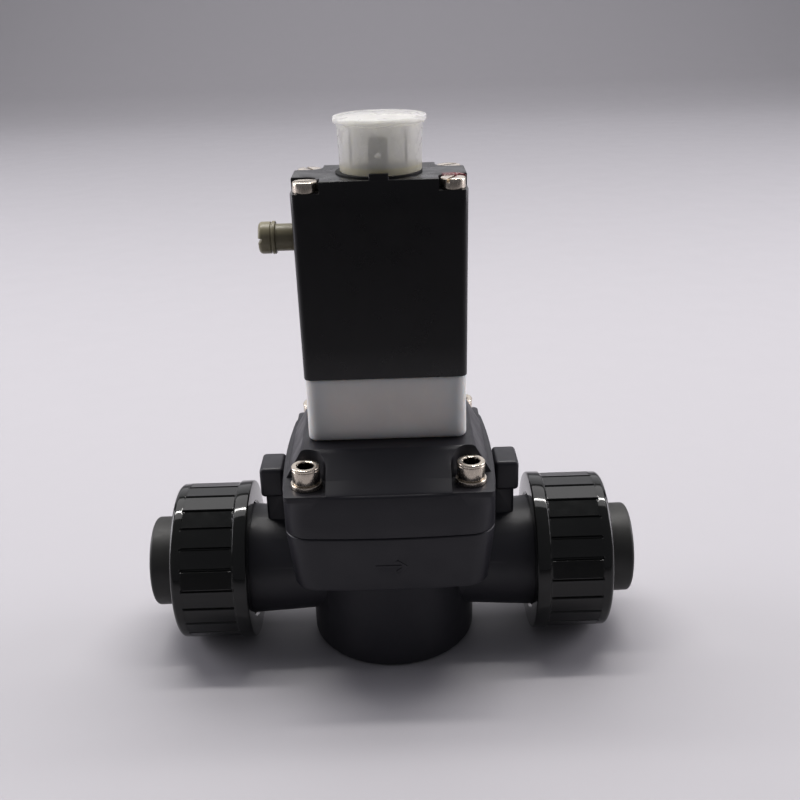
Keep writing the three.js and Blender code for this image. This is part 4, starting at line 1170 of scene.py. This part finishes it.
class ValveScrews(bpy.types.Operator):
    """Build the bonnet screws with their washers and the long housing screws"""

    bl_idname = "valve.screws"
    bl_label = "Screws"

    def execute(self, context):
        warm = (tuple(colours().steel), 0.24, (1, 1, 0.12), 3200, 0.06)
        steel = metal("warm_stainless", *warm)
        # The bonnet screws get a copy of the steel with painted shade in their sockets.
        steel_with_painted_socket_shade = painted_socket_shade(metal_finish("warm_stainless_painted_socket_shade", *warm))
        tree = copies_on_corners()
        values = {
            "Spacing X": 2 * SCREW_AT * MM,
            "Spacing Y": 2 * SCREW_AT * MM,
            "Height": SCREW_SEAT_Z * MM,
            "Turn": 0.6,
            "Seed": 4,
            "Material": steel_with_painted_socket_shade,
        }
        bonnet_set = grown(socket_screw(), tree, values, 28)
        bonnet_set.name = "bonnet_screw_set"
        nodes = [f"bonnet_{kind}_{i}" for kind in ("screw", "washer") for i in range(1, 5)]
        dress(bonnet_set, "valve", steel_with_painted_socket_shade, "steel", *nodes)
        values.update({"Spacing X": 2 * LONG_AT_X * MM, "Spacing Y": 2 * LONG_AT_Y * MM})
        values.update({"Height": LONG_SEAT_Z * MM, "Turn": 1.2, "Seed": 9, "Material": steel})
        long_set = grown(cheese_screw(), tree, values, 28)
        long_set.name = "housing_screw_set"
        dress(long_set, "valve", steel, "steel", *[f"housing_screw_{i}" for i in range(1, 5)])
        return {"FINISHED"}


# ---------------------------------------------------------------- pilot body and coil housing


def mould_line(x):
    """Depth of the faint line down the pilot body's front."""
    return 0.09 * math.exp(-(((x - 2.5) / 1.3) ** 2))


class ValvePilot(bpy.types.Operator):
    """Build the white pilot body with its chamber"""

    bl_idname = "valve.pilot"
    bl_label = "Pilot body"

    def execute(self, context):
        half_x, half_y = PILOT_HIGH[0] + 0.35, PILOT_HIGH[1]
        ring = rounded_rectangle(half_x, half_y, 3.5, 10, 40)
        rings = rounded_slab(ring, PILOT_LOW[2], PILOT_HIGH[2], 1.3, 0.5, 8, 5)
        sunk = []
        for loop in rings:
            sunk.append([(x, y + mould_line(x) if y < -14 else y, z) for x, y, z in loop])
        pilot = skin("pilot_block", sunk)
        top = PILOT_HIGH[2]
        membrane = rounded_rectangle(17.5, 10, 5)
        cutters = [
            brick("chamber", (-8, -6, 96), (19, 6, top + 2)),
            skin("recess", [[(x + 5.5, y, z) for x, y in membrane] for z in (105.5, top + 3)]),
            brick("pin slot", (4.95, -8.2, 100.95), (7.05, 8.2, top + 1)),
        ]
        cutters += long_holes(80, 110)
        combine(pilot, cutters, "DIFFERENCE")
        spout = [(0, 95), (2, 95), (2, 98.5, 0.3), (0.8, 98.5), (0.8, 96.2), (0, 96.2)]
        nozzle = turned("nozzle", rounded(spout, False), 32, x=-3)
        combine(pilot, [nozzle], "UNION")
        dress(pilot, "valve", pilot_plastic(), "pilot_plastic", "pilot_body")
        return {"FINISHED"}


class ValveHousing(bpy.types.Operator):
    """Build the coil housing: black block with screw notches, key and contact slots"""

    bl_idname = "valve.housing"
    bl_label = "Coil housing"

    def execute(self, context):
        half_x, half_y = HOUSING_HIGH[0], HOUSING_HIGH[1]
        ring = rounded_rectangle(half_x, half_y, 2.4, 8, 6)
        rings = rounded_slab(ring, HOUSING_LOW[2], HOUSING_TOP_Z, 0.4, 0.45, 6, 3)
        middle = (HOUSING_LOW[2] + HOUSING_TOP_Z) / 2
        drafted = [[(x * (1 + 0.00036 * (z - middle)), y, z) for x, y, z in ring] for ring in rings]
        housing = skin("coil_shell", drafted)
        key = brick("key", (-3.1, -15.9, HOUSING_TOP_Z - 1), (3.1, -14.4, HOUSING_HIGH[2]), 0.25)
        combine(housing, [key], "UNION")
        cutters = [brick("cavity", (-20, -13.5, 100), (20, 13.5, 168.5))]
        cutters += corner_cutters(LONG_AT_X, LONG_AT_Y, 4.7, 12, LONG_SEAT_Z - PLAY, 190)
        cutters += long_holes(100, 173)
        cutters.append(drilled("override hole", (-30, 0, KNOB_Z), (-19, 0, KNOB_Z), 3.75, 40))
        cutters.append(drilled("insert hole", (0, 0, 160), (0, 0, 180), 2.62, 28))
        for x, y, a, b in ((0, -9, 3.2, 0.45), (-9, 0, 0.45, 3.2), (9, 0, 0.45, 3.2)):
            cutters.append(brick("contact slot", (x - a, y - b, 160), (x + a, y + b, 180)))
        combine(housing, cutters, "DIFFERENCE")
        softened(housing, 0.0002, 40, 2)
        black = tuple(colours().housing)
        skin_marks = {"grain": 1250, "depth": 0.00003, "spread": 0.3, "strength": 0.4}
        finish = moulded("satin_housing_black", black, 0.3, **skin_marks)
        dress(housing, "valve", finish, "housing_plastic", "coil_housing")
        return {"FINISHED"}


class ValveLacquer(bpy.types.Operator):
    """Build the drop of sealing lacquer behind the front right housing screw"""

    bl_idname = "valve.lacquer"
    bl_label = "Sealing lacquer"

    def execute(self, context):
        rings = []
        count = 40
        centre = (LONG_AT_X - 0.4, -LONG_AT_Y + 4.2)
        for level in range(9):
            rise = level / 8
            width = math.sqrt(max(0.0, 1 - rise**2.4))
            ring = []
            for i in range(count):
                angle = FULL_TURN * i / count
                wave = 1 + 0.16 * math.sin(3 * angle + 0.6) + 0.08 * math.sin(5 * angle + 2)
                x = centre[0] + 4.3 * wave * width * math.cos(angle)
                y = centre[1] + 1.7 * wave * width * math.sin(angle)
                ring.append((x, y, HOUSING_TOP_Z - 0.9 + 1.25 * rise))
            rings.append(ring if level < 8 else [(centre[0], centre[1], HOUSING_TOP_Z + 0.36)])
        drop = skin("lacquer_drop", rings, sharp=70)
        dress(drop, "valve", lacquer(), "housing_plastic")
        return {"FINISHED"}


# ---------------------------------------------------------------- cap and knob


class ValveCap(bpy.types.Operator):
    """Build the translucent dust cap"""

    bl_idname = "valve.cap"
    bl_label = "Dust cap"

    def execute(self, context):
        wall = sizes().cap_wall / MM
        radius = 14.0
        taper = 0.5
        shift = 0.7
        foot = CAP_LOW[2]
        top = CAP_HIGH[2]
        rim = CAP_HIGH[0]
        profile = rounded(
            [
                (0, top - 1.5),
                (radius - wall, top - 1.9, 0.8),
                (radius - wall - taper, foot + 2.6, 0.2),
                (radius - wall - taper - 0.4, foot + 2.0, 0.2),
                (radius - wall - taper - 0.4, foot, 0.2),
                (radius - taper, foot, 0.3),
                (radius, top - 2.9, 0.5),
                (rim, top - 2.9, 0.5),
                (rim, top - 0.9, 0.6),
                (rim - 2.6, top - 0.7, 0.8),
                (rim - 7.6, top - 0.2, 4),
                (0, top),
            ],
            False,
            5,
        )
        cap = turned("milky_dust_cap", profile, 128, x=shift)
        dress(cap, "cap", cap_plastic(), "cap_plastic", "dust_cap")
        return {"FINISHED"}


class ValveKnob(bpy.types.Operator):
    """Build the slotted override knob with its shaft and crank pin"""

    bl_idname = "valve.knob"
    bl_label = "Manual override"

    def execute(self, context):
        tip = KNOB_LOW[0]
        head_back = -35.2
        collar = HOUSING_LOW[0] - 0.4
        ring_groove = (-25.6, -23.9)
        shaft_end = -20.1
        profile = rounded(
            [
                (0, tip),
                (5.35, tip, 1.3),
                (5.35, -36.85, 0.15),
                (4.9, -36.8, 0.1),
                (4.9, -36.4, 0.1),
                (5.5, -36.35, 0.15),
                (5.5, head_back, 0.3),
                (4.55, head_back, 0.2),
                (4.55, collar, 0.3),
                (3.6, collar),
                (3.6, ring_groove[0]),
                (2.8, ring_groove[0]),
                (2.8, ring_groove[1]),
                (3.6, ring_groove[1]),
                (3.6, shaft_end, 0.3),
                (0, shaft_end),
            ],
            False,
            5,
        )
        rings = []
        for radius, along in profile:
            rings.append([(along, c[0], KNOB_Z + c[1]) for c in circle(radius, 0, 72)])
        knob = skin("override_knob", rings)
        crank = drilled("crank", (-21, 0, KNOB_Z - 2), (KNOB_HIGH[0], 0, KNOB_Z - 2), 1.1, 24)
        combine(knob, [crank], "UNION")
        slot = brick("slot", (tip - 1, -7, KNOB_Z - 0.8), (tip + 1.4, 7, KNOB_Z + 0.8))
        combine(knob, [slot], "DIFFERENCE")
        softened(knob, 0.00015, 40, 2, 30)
        finish = moulded("satin_olive", tuple(colours().knob), 0.4, grain=1300, spread=0.12)
        dress(knob, "override", finish, "override_plastic", "manual_override")
        return {"FINISHED"}


# ---------------------------------------------------------------- frame nodes that stay

SPRINGS = (
    ("closing_spring", "diaphragm_plate", "diaphragm_lift", 5.0),
    ("armature_spring", "armature", "armature_tilt", 0.9),
)


def shortening_coil(name, material, slot):
    """A spring as a piece of its own, copied from its frame node and given its finish."""
    node = frame["nodes"][name]
    data = node.data.copy()
    data.transform(node.matrix_world)
    coil = bpy.data.objects.new(name + "_coil", data)
    bpy.context.scene.collection.objects.link(coil)
    dress(coil, "valve", material, slot, name)
    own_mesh(coil)


class ValveInnerPieces(bpy.types.Operator):
    """Give every frame node that stays its finish, and make the two springs pieces of their own"""

    bl_idname = "valve.inner_pieces"
    bl_label = "Inner pieces"

    def execute(self, context):
        finishes = inner_finishes()
        wanted = {part["node"]: part["material_slot"] for part in frame["record"]["subparts"]}
        for name, node in frame["nodes"].items():
            if node.hide_render:
                continue
            material = finishes[wanted[name]]
            if not node.material_slots:
                node.data.materials.append(material)
            for slot in node.material_slots:
                slot.material = material
        for name, pressed, joint, travel in SPRINGS:
            shortening_coil(name, finishes[wanted[name]], wanted[name])
        return {"FINISHED"}


# ---------------------------------------------------------------- stage


def panel_light(name, place, aim, size, power, colour):
    light = bpy.data.lights.new(name, "AREA")
    light.shape = "RECTANGLE"
    light.size, light.size_y = size
    light.energy = power
    light.color = colour
    lamp = bpy.data.objects.new(name, light)
    lamp.location = place
    lamp.rotation_euler = (Vector(aim) - Vector(place)).to_track_quat("-Z", "Y").to_euler()
    bpy.context.scene.collection.objects.link(lamp)


def sweep_floor():
    """A floor that curves up into a backdrop far behind the valve."""
    depth_points = [(-3.0, 0.0)] + [(-1.0 + 0.2 * i, 0.0) for i in range(14)]
    radius = 0.9
    for i in range(1, 13):
        angle = FULL_TURN / 4 * i / 12
        depth_points.append((1.6 + radius * math.sin(angle), radius * (1 - math.cos(angle))))
    depth_points.append((1.6 + radius, 3.0))
    widths = [-3.5, -1.2, -0.4, 0.4, 1.2, 3.5]
    points = [(x / MM, y / MM, z / MM) for y, z in depth_points for x in widths]
    faces = []
    row = len(widths)
    for i in range(len(depth_points) - 1):
        for k in range(row - 1):
            faces.append((i * row + k, i * row + k + 1, (i + 1) * row + k + 1, (i + 1) * row + k))
    return new_object("floor_sweep", points, faces, 60)


def floor_with_painted_front_shade():
    colour = tuple(colours().floor)
    finish = Finish("pale_floor_painted_front_shade")
    # Painted shade: the floor darkens to a third of its colour from 0.12 m to 0.5 m in front of the valve,
    # standing in for the dark room on the camera's side.
    front = finish.ranged(finish.along("Y"), 0, 1, -0.5, -0.12)
    finish.colour(front, shade(colour, 0.34), colour)
    finish.roughness(finish.noise(30, 3, 0.5), 0.5, 0.6)
    return finish.material


class ValveStage(bpy.types.Operator):
    """Build the pale floor, the soft lights and the camera"""

    bl_idname = "valve.stage"
    bl_label = "Stage"

    def execute(self, context):
        scene = context.scene
        floor = sweep_floor()
        floor.data.materials.append(floor_with_painted_front_shade())
        world = bpy.data.worlds.new("studio_room")
        world.use_nodes = True
        background = world.node_tree.nodes["Background"]
        background.inputs["Color"].default_value = (0.62, 0.62, 0.68, 1)
        background.inputs["Strength"].default_value = 0.3
        scene.world = world
        panel_light("ceiling", (0.0, 1.0, 2.2), (0, 0.4, 0), (3.0, 1.8), 35.0, (1.0, 0.985, 0.99))
        panel_light("back", (0.0, 1.5, 0.78), (0, 0, 0.1), (3.2, 0.85), 6.5, (0.98, 0.98, 1.0))
        panel_light("strip", (0.0, 0.25, 0.95), (0, 0, 0.03), (1.1, 0.05), 7.0, (1.0, 0.98, 0.95))
        panel_light("left_wall", (-1.3, 0.35, 0.5), (0, 0, 0.08), (0.8, 0.9), 12, (0.97, 0.95, 1.0))
        panel_light("right_wall", (1.3, 0.35, 0.5), (0, 0, 0.08), (0.8, 0.9), 11, (0.98, 0.95, 1.0))
        data = bpy.data.cameras.new("camera")
        data.sensor_width = 36
        data.lens = 45.87
        data.clip_start = 0.01
        data.clip_end = 20
        camera = bpy.data.objects.new("camera", data)
        heading = Matrix.Rotation(math.radians(-0.17), 4, "Z")
        pitch = Matrix.Rotation(math.radians(90 - 22.35), 4, "X")
        roll = Matrix.Rotation(math.radians(-1.71), 4, "Z")
        camera.matrix_world = Matrix.Translation((0.0037, -0.3382, 0.2321)) @ heading @ pitch @ roll
        scene.collection.objects.link(camera)
        scene.camera = camera
        scene.view_settings.view_transform = "Standard"
        scene.view_settings.gamma = 0.9
        return {"FINISHED"}


# ---------------------------------------------------------------- sidebar and registration

STEPS = (
    ValveStage,
    ValveBody,
    ValveBonnet,
    ValveNuts,
    ValveUnionEnds,
    ValveScrews,
    ValvePilot,
    ValveHousing,
    ValveLacquer,
    ValveCap,
    ValveKnob,
    ValveInnerPieces,
)


class ValvePanel(bpy.types.Panel):
    """Sizes, colours and build steps of the valve"""

    bl_idname = "VIEW3D_PT_valve"
    bl_label = "Valve"
    bl_space_type = "VIEW_3D"
    bl_region_type = "UI"
    bl_category = "Valve"

    def draw(self, context):
        layout = self.layout
        for group in (context.scene.valve_sizes, context.scene.valve_colours):
            box = layout.box()
            for name in group.bl_rna.properties.keys():
                if name not in ("rna_type", "name"):
                    box.prop(group, name)
        for step in STEPS:
            layout.operator(step.bl_idname)


CLASSES = (ValveSizes, ValveColours, *STEPS, ValvePanel)


def register():
    for cls in CLASSES:
        bpy.utils.register_class(cls)
    bpy.types.Scene.valve_sizes = bpy.props.PointerProperty(type=ValveSizes)
    bpy.types.Scene.valve_colours = bpy.props.PointerProperty(type=ValveColours)


def unregister():
    del bpy.types.Scene.valve_colours
    del bpy.types.Scene.valve_sizes
    for cls in reversed(CLASSES):
        bpy.utils.unregister_class(cls)


def main():
    register()
    for step in STEPS:
        group, name = step.bl_idname.split(".")
        getattr(getattr(bpy.ops, group), name)()


if __name__ == "__main__":
    main()
